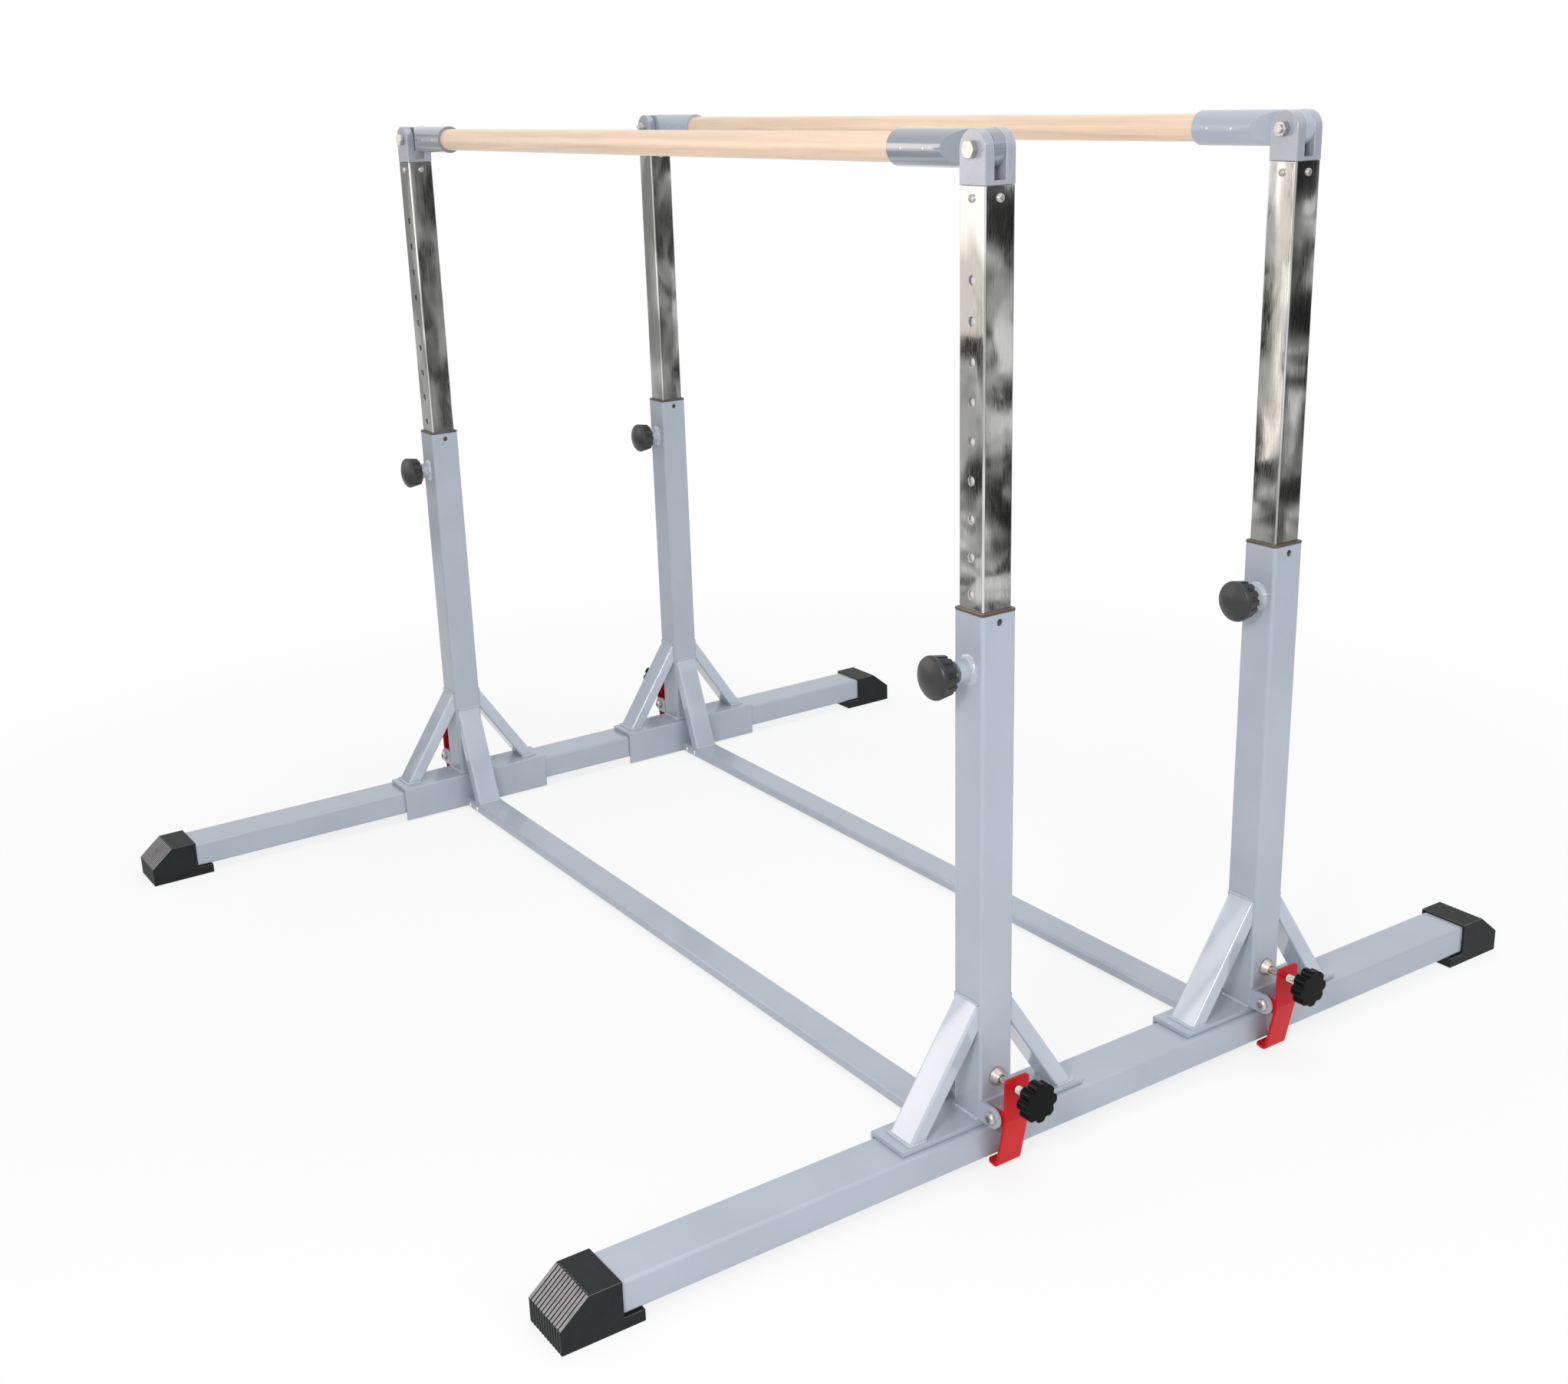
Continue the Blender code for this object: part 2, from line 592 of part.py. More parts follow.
def clevis(name, parent):
    """Fork head on the tube: two ears with full round tops, and a spigot inside the tube."""
    foot = FIT_GAP - CLEVIS_HEIGHT
    shape = [(-TUBE_HALF, foot), (TUBE_HALF, foot), *arc((0, 0), TUBE_HALF, 0, 180, 8)]
    head = bevel(outline([shape], TUBE_WIDTH, "XZ"), CLEVIS_EDGE)
    plug = TUBE_WIDTH - 2 * TUBE_WALL - 2 * FIT_GAP
    spigot = outline([rounded_rectangle(plug, plug, TUBE_CORNER, 1)], CLEVIS_SPIGOT + CLEVIS_FLOOR / 2, "XY",
                     (0, 0, foot + CLEVIS_FLOOR / 4 - CLEVIS_SPIGOT / 2))
    combine(head, spigot, "UNION")
    slot, beyond = CLEVIS_SLOT / 2, TUBE_HALF + OVERCUT
    combine(head, box((-beyond, -slot, foot + CLEVIS_FLOOR), (beyond, slot, beyond)))
    combine(head, rod(PIVOT_BOLT + 2 * BOLT_PLAY, -beyond, beyond, "Y", segments=12))
    return finish(head, name, PAINT, parent)


def bar_socket(name, side, parent, at):
    """Round socket that runs out through two sloping cheeks into a flat round-ended tang."""
    radius, tang = SOCKET_DIAMETER / 2, CLEVIS_SLOT / 2 - FIT_GAP
    beyond, far = radius + OVERCUT, SOCKET_REACH + OVERCUT
    inward = -side
    body = rod(SOCKET_DIAMETER, -inward * radius, inward * SOCKET_REACH, "X", segments=20)
    around = [*arc((0, 0), radius - FIT_GAP, 90, 270, 8), (CHEEK_END, -beyond), (far, -beyond),
              (far, beyond), (CHEEK_END, beyond)]
    combine(body, outline([mirrored(around, inward)], 2 * beyond, "XZ"), "INTERSECT")
    for y in (1, -1):
        cheek = [(-beyond, y * tang), (TANG_SHOULDER, y * tang), (CHEEK_END, y * radius),
                 (CHEEK_END, y * beyond), (-beyond, y * beyond)]
        combine(body, outline([mirrored(cheek, inward)], 2 * beyond, "XY"))
    combine(body, rod(BAR_DIAMETER + 2 * FIT_GAP, inward * (SOCKET_REACH - SOCKET_DEPTH), inward * far, "X",
                      segments=20))
    combine(body, rod(PIVOT_BOLT + 2 * BOLT_PLAY, -beyond, beyond, "Y", segments=12))
    return finish(body, name, PAINT, parent, at)


def wooden_bar(name, parent):
    depth = SOCKET_REACH - SOCKET_DEPTH + FIT_GAP
    bar = rod(BAR_DIAMETER, -depth, -POST_SPACING + depth, "X", segments=20)
    return finish(bar, name, WOOD, parent)


def pivot_bolt(name, facing, parent):
    bolt = bolt_with_nut(PIVOT_HEAD, PIVOT_HEAD_THICK, PIVOT_BOLT, TUBE_WIDTH, PIVOT_NUT,
                         PIVOT_NUT_THICK, PIVOT_BOLT_TIP, facing)
    return finish(bolt, name, ZINC, parent)


# Plungers and clamps
def plunger(name, parent, at):
    """Mushroom knob with a fluted skirt that narrows towards the post, and its pin."""
    radius, waist = PLUNGER_KNOB / 2, PLUNGER_WAIST / 2
    back = POST_HALF + BOSS_LENGTH + PLUNGER_STANDOFF
    rim = back + PLUNGER_SKIRT
    recess = BOSS_DIAMETER / 2 + RECESS_PLAY
    bulge = (radius ** 2 + PLUNGER_DOME ** 2) / (2 * PLUNGER_DOME)
    spread = degrees(asin(radius / bulge))
    dome = arc((0, rim + PLUNGER_DOME - bulge), bulge, 90 - spread, 90, 2)
    profile = [(0, back + PLUNGER_RECESS), (recess, back + PLUNGER_RECESS), (recess, back), (waist, back),
               (radius, rim - PLUNGER_LIP), *dome[:-1], (0, rim + PLUNGER_DOME)]
    knob = turned(profile, "Y", segments=FLUTE_COUNT * 3, sign=-1)
    # the flutes start behind the lip and deepen towards the back
    lean = atan2(radius - waist + FLUTE_DEPTH - FLUTE_START, PLUNGER_SKIRT - PLUNGER_LIP)
    for i in range(FLUTE_COUNT):
        groove = rod(FLUTE_WIDTH, 0, 2 * PLUNGER_SKIRT, "Y", segments=6)
        place = Matrix.Translation((0, -rim + PLUNGER_LIP, radius + FLUTE_WIDTH / 2 - FLUTE_START))
        groove.data.transform(place @ Matrix.Rotation(-lean, 4, "X"))
        groove.data.transform(Matrix.Rotation(2 * pi * (i + 0.5) / FLUTE_COUNT, 4, "Y"))
        combine(knob, groove)
    pin = rod(PIN_DIAMETER, -rim, -TUBE_HALF - PIN_TIP_GAP, "Y", segments=8)
    combine(knob, pin, "UNION")
    return finish(knob, name, PLASTIC, parent, at)


def round_strip_ends(strip, thickness, radius):
    """Round the four corners of a strip that lies across Y, at the edges that run through its thickness."""
    bm = bmesh.new()
    bm.from_mesh(strip.data)
    corners = [edge for edge in bm.edges
               if edge.calc_face_angle() > radians(SHARP_ANGLE)
               and abs(edge.verts[0].co.y - edge.verts[1].co.y) < WELD_DISTANCE
               and abs(edge.calc_length() - thickness) < WELD_DISTANCE]
    bmesh.ops.bevel(bm, geom=corners, offset=radius, segments=2, profile=0.5, affect="EDGES")
    bm.to_mesh(strip.data)
    bm.free()
    tidy(strip.data)
    return strip


def clamp_lever(name, side, parent):
    """Bent flat lever: upright arm, slanting shank and a hooked lip under the rail's outer edge."""
    middle = LEVER_THICK / 2
    arm = LEVER_FACE - middle - CLAMP_PIVOT_X
    lip_z = FOOT_HEIGHT - HOOK_GAP - middle - CLAMP_PIVOT_Z
    hook_x = RAIL_WIDTH / 2 + HOOK_CORNER_OUT - CLAMP_PIVOT_X
    lip_x = RAIL_WIDTH / 2 - HOOK_LAP - CLAMP_PIVOT_X
    path = [(arm, LEVER_TOP - CLAMP_PIVOT_Z), (arm, 0), (hook_x, lip_z - HOOK_DROP), (lip_x, lip_z)]
    lever = outline([mirrored(bent_strip(path, LEVER_THICK, LEVER_BEND), side)], LEVER_WIDTH, "XZ")
    round_strip_ends(lever, LEVER_THICK, LEVER_ROUND)
    # two lugs that carry the pivot
    lug_shape = [(arm, LUG_RADIUS), *arc((0, 0), LUG_RADIUS, 90, 270, 5), (arm, -LUG_RADIUS)]
    for y in (1, -1):
        beside = (0, y * (LEVER_WIDTH / 2 - LUG_THICK / 2 - LUG_INSET), 0)
        combine(lever, outline([mirrored(lug_shape, side)], LUG_THICK, "XZ", beside), "UNION")
    combine(lever, rod(CLAMP_BOLT + 2 * BOLT_PLAY, -LEVER_WIDTH, LEVER_WIDTH, "Y", segments=10))
    combine(lever, rod(STUD_DIAMETER + 2 * STUD_PLAY, side * (arm - OVERCUT), side * (arm + OVERCUT), "X",
                       (0, STUD_Z - CLAMP_PIVOT_Z), 10))
    return finish(lever, name, RED, parent)


def clamp_pad(name, side, parent, at):
    """Conical swivel pad that bears on the post and holds the stud's end."""
    start = POST_HALF + FIT_GAP
    bore = STUD_DIAMETER / 2 + STUD_PLAY
    profile = [(0, start), (PAD_DIAMETER / 2, start), (PAD_DIAMETER / 2, start + PAD_RIM),
               (PAD_NECK / 2, start + PAD_LENGTH), (bore, start + PAD_LENGTH),
               (bore, start + PAD_FLOOR), (0, start + PAD_FLOOR)]
    return finish(turned(profile, "X", segments=12, sign=side), name, CHROME, parent, at)


def clamp_knob(name, side, parent, at):
    """Star knob with a hub on its back and the stud that it turns."""
    back = LEVER_FACE + STAR_STANDOFF
    hub = back - STAR_HUB_LENGTH
    count = STAR_LOBES * 4
    shape = []
    for i in range(count):
        angle = 2 * pi * i / count
        radius = STAR_DIAMETER / 2 - STAR_LOBE_DEPTH * (1 - cos(STAR_LOBES * angle)) / 2
        shape.append((radius * cos(angle), radius * sin(angle)))
    knob = outline([shape], STAR_THICK, "YZ", (side * (back + STAR_THICK / 2), 0, 0))
    bevel(knob, STAR_EDGE, 60)
    combine(knob, rod(STAR_HUB, side * hub, side * (back + STAR_THICK / 4), "X", segments=12), "UNION")
    tip = POST_HALF + PAD_FLOOR + 2 * FIT_GAP
    combine(knob, rod(STUD_DIAMETER, side * tip, side * (hub + STUD_GRIP), "X", segments=8), "UNION")
    return finish(knob, name, GLOSS, parent, at)


for rail_name, rail_side in (("near", 1), ("far", -1)):
    base_rail(rail_name + "_base_rail", rail_side * POST_X)
    end_cap(rail_name + "_front_end_cap", rail_side * POST_X, -1)
    end_cap(rail_name + "_rear_end_cap", rail_side * POST_X, 1)

for prefix, frame_y, facing in (("front", FRONT_FRAME_Y, -1), ("rear", REAR_FRAME_Y, 1)):
    frame = empty(prefix + "_frame", (0, frame_y, 0))
    floor_tube(prefix + "_floor_tube", frame)
    # the near tube slides in its post, the bar tilts on it, and the far tube hangs on the bar
    near_lift = empty(prefix + "_near_lift", (POST_X, 0, PIVOT_HEIGHT), frame)
    tilt = empty(prefix + "_bar_tilt", (0, 0, 0), near_lift)
    far_lift = empty(prefix + "_far_lift", (-POST_SPACING, 0, 0), tilt)
    wooden_bar(prefix + "_bar", tilt)
    for word, side, lift in (("near", 1, near_lift), ("far", -1, far_lift)):
        stem = prefix + "_" + word
        saddle(stem + "_saddle", side, frame)
        post(stem + "_post", side, frame)
        bar_socket(stem + "_bar_socket", side, tilt, (min(side, 0) * POST_SPACING, 0, 0))
        inner_tube(stem + "_inner_tube", facing, lift)
        clevis(stem + "_clevis", lift)
        pivot_bolt(stem + "_pivot_bolt", facing, lift)
        plunger_bush(stem + "_plunger_bush", frame, (side * POST_X, 0, PLUNGER_Z))
        drawn = PULLED_OUT if stem == "front_near" else 0
        plunger(stem + "_plunger", frame, (side * POST_X, -drawn, PLUNGER_Z))
        hinge = empty(stem + "_clamp", (side * (POST_X + CLAMP_PIVOT_X), 0, CLAMP_PIVOT_Z), frame)
        clamp_bolt(stem + "_clamp_bolt", hinge)
        clamp_lever(stem + "_clamp_lever", side, hinge)
        screw_at = (-side * CLAMP_PIVOT_X, 0, STUD_Z - CLAMP_PIVOT_Z)
        clamp_pad(stem + "_clamp_pad", side, hinge, screw_at)
        clamp_knob(stem + "_clamp_knob", side, hinge, screw_at)

bpy.context.view_layer.update()
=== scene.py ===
"""Finished pieces for a pair of parallel bars with height and width adjustment.

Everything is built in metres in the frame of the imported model: X along the bars with the near side
at +X, Y along the base rails, Z up, floor at Z = 0. The four posts are called front and rear, near
and far. The front frame has its hole rows and bolt heads towards -Y. The rear sliding unit is the
same one turned round.
"""

import json
from contextlib import contextmanager
from math import asin, atan2, cos, degrees, pi, radians, sin, sqrt, tan

import bmesh
import bpy
from bpy.props import FloatProperty, FloatVectorProperty, IntProperty, PointerProperty
from mathutils import Matrix, Vector, noise

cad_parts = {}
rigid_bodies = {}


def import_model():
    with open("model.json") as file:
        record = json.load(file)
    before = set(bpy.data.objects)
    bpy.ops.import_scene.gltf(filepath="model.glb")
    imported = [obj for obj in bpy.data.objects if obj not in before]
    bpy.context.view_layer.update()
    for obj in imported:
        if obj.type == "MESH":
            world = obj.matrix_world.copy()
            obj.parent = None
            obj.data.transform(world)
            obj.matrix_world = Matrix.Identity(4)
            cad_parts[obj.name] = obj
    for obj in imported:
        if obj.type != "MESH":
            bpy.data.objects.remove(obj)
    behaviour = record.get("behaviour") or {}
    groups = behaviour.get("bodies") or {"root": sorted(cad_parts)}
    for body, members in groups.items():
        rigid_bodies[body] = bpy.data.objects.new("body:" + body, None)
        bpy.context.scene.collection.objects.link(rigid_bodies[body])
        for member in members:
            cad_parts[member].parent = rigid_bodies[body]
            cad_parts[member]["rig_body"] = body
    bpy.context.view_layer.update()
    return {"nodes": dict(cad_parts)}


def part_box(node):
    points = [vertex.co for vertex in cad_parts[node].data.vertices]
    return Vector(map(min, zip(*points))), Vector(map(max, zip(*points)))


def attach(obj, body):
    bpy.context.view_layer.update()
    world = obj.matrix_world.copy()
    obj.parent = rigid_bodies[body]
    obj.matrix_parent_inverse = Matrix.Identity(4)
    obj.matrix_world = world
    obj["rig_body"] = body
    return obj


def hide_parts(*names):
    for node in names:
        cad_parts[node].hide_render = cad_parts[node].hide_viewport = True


bl_info = {
    "name": "Parallel Bars",
    "version": (1, 0, 0),
    "blender": (4, 5, 0),
    "location": "3D View > Sidebar > Parallel Bars",
    "description": "Builds adjustable parallel bars with wooden rails and their studio",
    "category": "Object",
}

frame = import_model()

ROWS = ("front", "rear")
ENDS = ("near", "far")
SMOOTH_ANGLE = radians(35)
SAME_POINT = 0.00001    # points closer than this are one
FIT_GAP = 0.0003        # between pieces that touch

# Posts, saddles and braces
POST_WIDTH = 0.060
POST_WALL = 0.0025
POST_CORNER = 0.006
POST_TOP = 0.835
POST_FOOT = 0.0768
SADDLE_TOP = 0.0765
SADDLE_UNDER = 0.0685
SADDLE_SIDE = 0.0455
SADDLE_SIDE_PLATE = 0.005
SADDLE_CORNER = 0.004
SADDLE_LENGTH = 0.342
SADDLE_LIFT = 0.003
BRACE_WIDTH = 0.050
BRACE_DEPTH = 0.025
BRACE_WALL = 0.002
BRACE_CORNER = 0.004
SIDE_BRACE_TOP = 0.262
SIDE_BRACE_FOOT = 0.154
INNER_BRACE_TOP = 0.223
INNER_BRACE_FOOT = 0.107
FLOOR_TUBE_TOP = 0.023
FLOOR_TUBE_WIDTH = 0.060
FLOOR_TUBE_HEIGHT = 0.020
FLOOR_TUBE_WALL = 0.002
FLOOR_TUBE_CORNER = 0.0055
FLOOR_SCREWS = (0.020, 0.054)
FLOOR_SCREW_THICK = 0.0030
RAIL_WALL = 0.0025
RAIL_CORNER = 0.006
CAP_EDGE = 0.0007
RIVET_HEIGHT = 0.8235
RIVET_HOLE = 0.0102
GUIDE_WIDTH = 0.0614
GUIDE_OPENING = 0.0528
GUIDE_RISE = 0.0036
WIPER_WIDTH = 0.0530
WIPER_OPENING = {"near": 0.0508, "far": 0.0520}

# Welds: how far a bead stands off its steel, and the beads' shares of the weld width
WELD_LIFT = 0.0006
POST_BEAD, BRACE_BEAD, LAP_BEAD, EAR_BEAD = 1.25, 0.86, 0.62, 0.5
BEAD_FACES = 10
BOSS_THROAT = 0.0074

# Sliding tubes, heads and sockets, with heights from the pivot
TUBE_WIDTH = 0.050
TUBE_WALL = 0.0025
TUBE_CORNER = 0.0028
HOLE_COUNT = 13
HOLE_PITCH = 0.0515
TOP_HOLE = 0.1155
TUBE_EDGE = 0.0004
TUBE_SCREW_DROP = 0.015
TUBE_SCREW_THICK = 0.0034
LINER_HALF = 0.0215
LINER_DEPTH = 0.0060
LINER_FOOT = 0.020
LINER_TOP = 0.045
CLEVIS_HEIGHT = 0.044
CLEVIS_SLOT = 0.019
CLEVIS_FLOOR = 0.006
SOCKET_DIAMETER = 0.050
SOCKET_REACH = 0.175
SOCKET_DEPTH = 0.090
SOCKET_SCREWS = (0.099, 0.1455)
TANG_SHOULDER = 0.028
CHEEK_END = 0.064
BAR_DIAMETER = 0.040
BAR_EDGE = 0.0015
BAR_PLAY = 0.0006
BOLT_PLAY = 0.0008
DIMPLE = 0.0040
DIMPLE_DEPTH = 0.0012
PIVOT_BOLT = 0.012
PIVOT_HEAD = 0.021
PIVOT_HEAD_THICK = 0.008
PIVOT_NUT = 0.019
PIVOT_NUT_THICK = 0.010
PIVOT_BOLT_TIP = 0.004

# Plungers
PLUNGER_HEIGHT = 0.7565
BOSS_DIAMETER = 0.031
BOSS_LENGTH = 0.0235
BOSS_BORE = 0.0083
BUSH_COLLAR = 0.020
BUSH_COLLAR_THICK = 0.0075
BUSH_BORE = 0.0106
BUSH_SHANK = 0.016
PIN_TIP = 0.0255
PIN_DIAMETER = 0.010
PLUNGER_BACK = 0.0545
PLUNGER_SKIRT = 0.028
PLUNGER_DOME = 0.007
PLUNGER_WAIST = 0.055
PLUNGER_KNOB = 0.062
PLUNGER_RECESS = 0.016
FLUTES = 12
FLUTE_DEPTH = 0.0030
FLUTE_WIDTH = 0.0062
FLUTE_REACH = 0.020
FLUTE_FADE = 0.0016

# Rail clamps
EAR_REACH = 0.0243
EAR_RADIUS = 0.016
EAR_THICK = 0.006
CLAMP_HEIGHT = 0.093
CLAMP_BOLT = 0.008
CLAMP_HEAD = 0.0200
CLAMP_HEAD_THICK = 0.0062
CLAMP_SOCKET = 0.0085
CLAMP_NUT = 0.013
CLAMP_NUT_THICK = 0.0065
CLAMP_BOLT_TIP = 0.003
BRACKET_WEB = 0.005
RAIL_HALF = 0.040
RAIL_UNDER = 0.018
LEVER_THICK = 0.005
LEVER_WIDTH = 0.044
LEVER_FACE = 0.0765
LEVER_TOP = 0.160
LEVER_BEND = 0.006
LEVER_ROUND = 0.006
HOOK_OUT = 0.0165
HOOK_LAP = 0.003
HOOK_GAP = 0.001
HOOK_DROP = 0.003
LUG_RADIUS = 0.0125
LUG_THICK = 0.005
LUG_INSET = 0.0002
LUG_BORE = 0.0088
STUD_HEIGHT = 0.141
STUD_DIAMETER = 0.012
STUD_PLAY = 0.001
THREAD_PITCH = 0.00175
THREAD_DEPTH = 0.0008
PAD_RADIUS = 0.0140
PAD_NECK = 0.0097
PAD_BORE = 0.0065
PAD_FLOOR = 0.0055
PAD_LENGTH = 0.0130
STAR_DIAMETER = 0.060
STAR_THICK = 0.020
STAR_EDGE = 0.0018
STAR_BACK = 0.107
STAR_HUB = 0.024
STAR_HUB_LENGTH = 0.007
STAR_LOBES = 8
STAR_LOBE_DEPTH = 0.0045

POST_HALF = POST_WIDTH / 2
TUBE_HALF = TUBE_WIDTH / 2
CLAMP_REACH = POST_HALF + EAR_REACH

# The camera, solved from the corners of the object in the picture
PICTURE_WIDTH = 2044
CAMERA_PLACE = (2.6986, -1.75572, 1.52424)
CAMERA_YAW, CAMERA_PITCH, CAMERA_ROLL = 1.00286, 0.31165, 0.03702
FOCAL_PIXELS = 2385.60
CAMERA_SHIFT = (0.0257, -0.0151)

# Studio: lamps have a place, an aim, a size and a power in watts. Cards have a place, the point on the
# floor plan that they face, a width and height, a colour, their least and greatest strength, and the
# cells per metre of their mottling.
FLOOR_DIAMETER = 60
ROOM_LIGHT = 0.55
CREAM, GREY = (1.0, 0.93, 0.86), (0.97, 0.99, 1.0)
ROOM = (0.9, -0.2)
LAMPS = (
    ("Front softbox", (2.3, -2.4, 2.0), (0.7, 0, 0.6), 0.7, 42, (1.0, 0.955, 0.965)),
    ("Side softbox", (4.6, 1.4, 2.4), (0, 0, 0.7), 2.6, 42, (0.93, 0.985, 1.0)),
    ("Top softbox", (0.2, 0.4, 4.8), (0, 0, 0), 3.4, 58, (0.97, 0.99, 1.0)),
)
CARDS = (
    ("window_card", (-2.18, -1.82, 1.74), ROOM, (1.64, 1.08), CREAM, 2.8, 3.4, (1.3, 1.3, 0.8)),
    ("low_window_card", (-2.18, -1.82, 0.96), ROOM, (1.64, 0.48), CREAM, 1.48, 1.74, (9, 9, 1.5)),
    ("upper_window_card", (-1.591, -2.499, 1.76), ROOM, (0.10, 1.04), CREAM, 2.3, 2.8, (1.3, 1.3, 0.8)),
    ("narrow_window_card", (-1.575, -2.518, 0.70), ROOM, (0.05, 1.0), CREAM, 1.5, 1.8, (2, 2, 2)),
    ("right_window_card", (-1.20, -2.95, 1.50), ROOM, (1.0, 1.56), CREAM, 3.4, 4.2, (1.3, 1.3, 0.8)),
    ("left_card", (-1.95, -2.45, 1.1), ROOM, (4.4, 2.2), GREY, 0.02, 0.84, (7, 7, 4.5)),
    ("right_card", (3.2, 2.2, 1.3), (0, 0), (3.6, 2.6), GREY, 0.03, 0.82, (4.2, 4.2, 5)),
    ("far_card", (-2.88, -0.86, 1.05), ROOM, (0.70, 1.70), GREY, 0.46, 0.56, (2, 2, 1.5)),
    ("dark_card", (2.904, 2.543, 0.65), (-0.296, 0.343), (0.15, 1.40), GREY, 0.04, 0.34, (9, 9, 4)),
    ("far_dark_card", (3.533, 1.628, 0.65), (0.333, -0.572), (0.38, 1.40), GREY, 0.04, 0.38, (6, 6, 5)),
)
FLOOR_CARDS = (("left_floor_card", (-1.30, -2.05)), ("right_floor_card", (2.95, 1.95)))

PLANES = {
    "XY": Matrix.Identity(4),
    "XZ": Matrix(((1, 0, 0, 0), (0, 0, -1, 0), (0, 1, 0, 0), (0, 0, 0, 1))),
    "YZ": Matrix(((0, 0, 1, 0), (1, 0, 0, 0), (0, 1, 0, 0), (0, 0, 0, 1))),
}
AXES = {
    "X": Matrix.Rotation(radians(90), 4, "Y"),
    "Y": Matrix.Rotation(radians(-90), 4, "X"),
    "Z": Matrix.Identity(4),
}


class BarsSizes(bpy.types.PropertyGroup):
    """Sizes of the finish that the solids leave out"""
    plate_edge: FloatProperty(
        name="Plate edge", description="Rounding on the edges of plates and levers",
        default=0.0009, min=0.0002, max=0.002, unit="LENGTH")
    cast_edge: FloatProperty(
        name="Cast edge", description="Rounding on the clevis heads and bar sockets",
        default=0.0012, min=0.0002, max=0.003, unit="LENGTH")
    weld_width: FloatProperty(
        name="Weld width", description="Width of the weld beads on posts and braces",
        default=0.0072, min=0.002, max=0.012, unit="LENGTH")
    hole_diameter: FloatProperty(
        name="Hole diameter", description="Diameter of the holes in the sliding tubes",
        default=0.013, min=0.010, max=0.014, unit="LENGTH")
    screw_head: FloatProperty(
        name="Screw head", description="Diameter of the screw heads on the tubes",
        default=0.0112, min=0.005, max=0.014, unit="LENGTH")
    round_steps: IntProperty(
        name="Round steps", description="Faces round a turned piece",
        default=48, min=16, max=96)


class BarsColours(bpy.types.PropertyGroup):
    """Colours of the finishes"""
    coat: FloatVectorProperty(
        name="Powder coat", description="Pale blue-grey powder coat of the steel frames",
        default=(0.405, 0.455, 0.525), min=0, max=1, size=3, subtype="COLOR")
    casting: FloatVectorProperty(
        name="Casting", description="The coat over the clevis heads, warmer and a little darker",
        default=(0.330, 0.352, 0.415), min=0, max=1, size=3, subtype="COLOR")
    chrome: FloatVectorProperty(
        name="Chrome", description="Bright plating of the sliding tubes",
        default=(0.735, 0.720, 0.700), min=0, max=1, size=3, subtype="COLOR")
    wood: FloatVectorProperty(
        name="Wood", description="Pale lacquered ash of the bars",
        default=(0.900, 0.670, 0.480), min=0, max=1, size=3, subtype="COLOR")
    lever: FloatVectorProperty(
        name="Lever", description="Red powder coat of the clamp levers",
        default=(0.600, 0.010, 0.016), min=0, max=1, size=3, subtype="COLOR")
    plunger: FloatVectorProperty(
        name="Plunger", description="Black moulding of the plunger knobs",
        default=(0.0210, 0.0218, 0.0222), min=0, max=1, size=3, subtype="COLOR")
    # painted shade: a darker copy of the frame's coat, given only to the front row's sockets; the rear row's
    # sockets take the frame's own coat
    socket: FloatVectorProperty(
        name="Socket", description="Darker glossy coat of the bar sockets",
        default=(0.195, 0.230, 0.272), min=0, max=1, size=3, subtype="COLOR")
    guide: FloatVectorProperty(
        name="Guide", description="Brown-grey moulding of the guide rims",
        default=(0.080, 0.066, 0.058), min=0, max=1, size=3, subtype="COLOR")


class Value:
    """A socket of a node tree. Arithmetic on it adds Math nodes."""

    def __init__(self, nodes, socket):
        self.nodes = nodes
        self.socket = socket

    def math(self, operation, first, second):
        return self.nodes.node("ShaderNodeMath", {"operation": operation}, {0: first, 1: second})

    def __add__(self, other):
        return self.math("ADD", self, other)

    def __radd__(self, other):
        return self.math("ADD", other, self)

    def __sub__(self, other):
        return self.math("SUBTRACT", self, other)

    def __rsub__(self, other):
        return self.math("SUBTRACT", other, self)

    def __mul__(self, other):
        return self.math("MULTIPLY", self, other)

    def __rmul__(self, other):
        return self.math("MULTIPLY", other, self)


class Nodes:
    """A node tree, and the one way to add to it."""

    def __init__(self, tree):
        self.tree = tree

    def node(self, kind, settings=None, inputs=None, output=0):
        """Adds a node: settings first, then the values or links of its sockets."""
        made = self.tree.nodes.new(kind)
        for name, value in (settings or {}).items():
            setattr(made, name, value)
        for socket, value in (inputs or {}).items():
            self.connect(made.inputs[socket], value)
        return Value(self, made.outputs[output])

    def connect(self, target, value):
        if isinstance(value, Value):
            self.tree.links.new(value.socket, target)
        else:
            target.default_value = value

    def rays(self, *kinds):
        """1 for a ray of one of the kinds, else 0."""
        outputs = self.node("ShaderNodeLightPath").socket.node.outputs
        found, *others = [Value(self, outputs[f"Is {kind} Ray"]) for kind in kinds]
        for other in others:
            found = found.math("MAXIMUM", found, other)
        return found


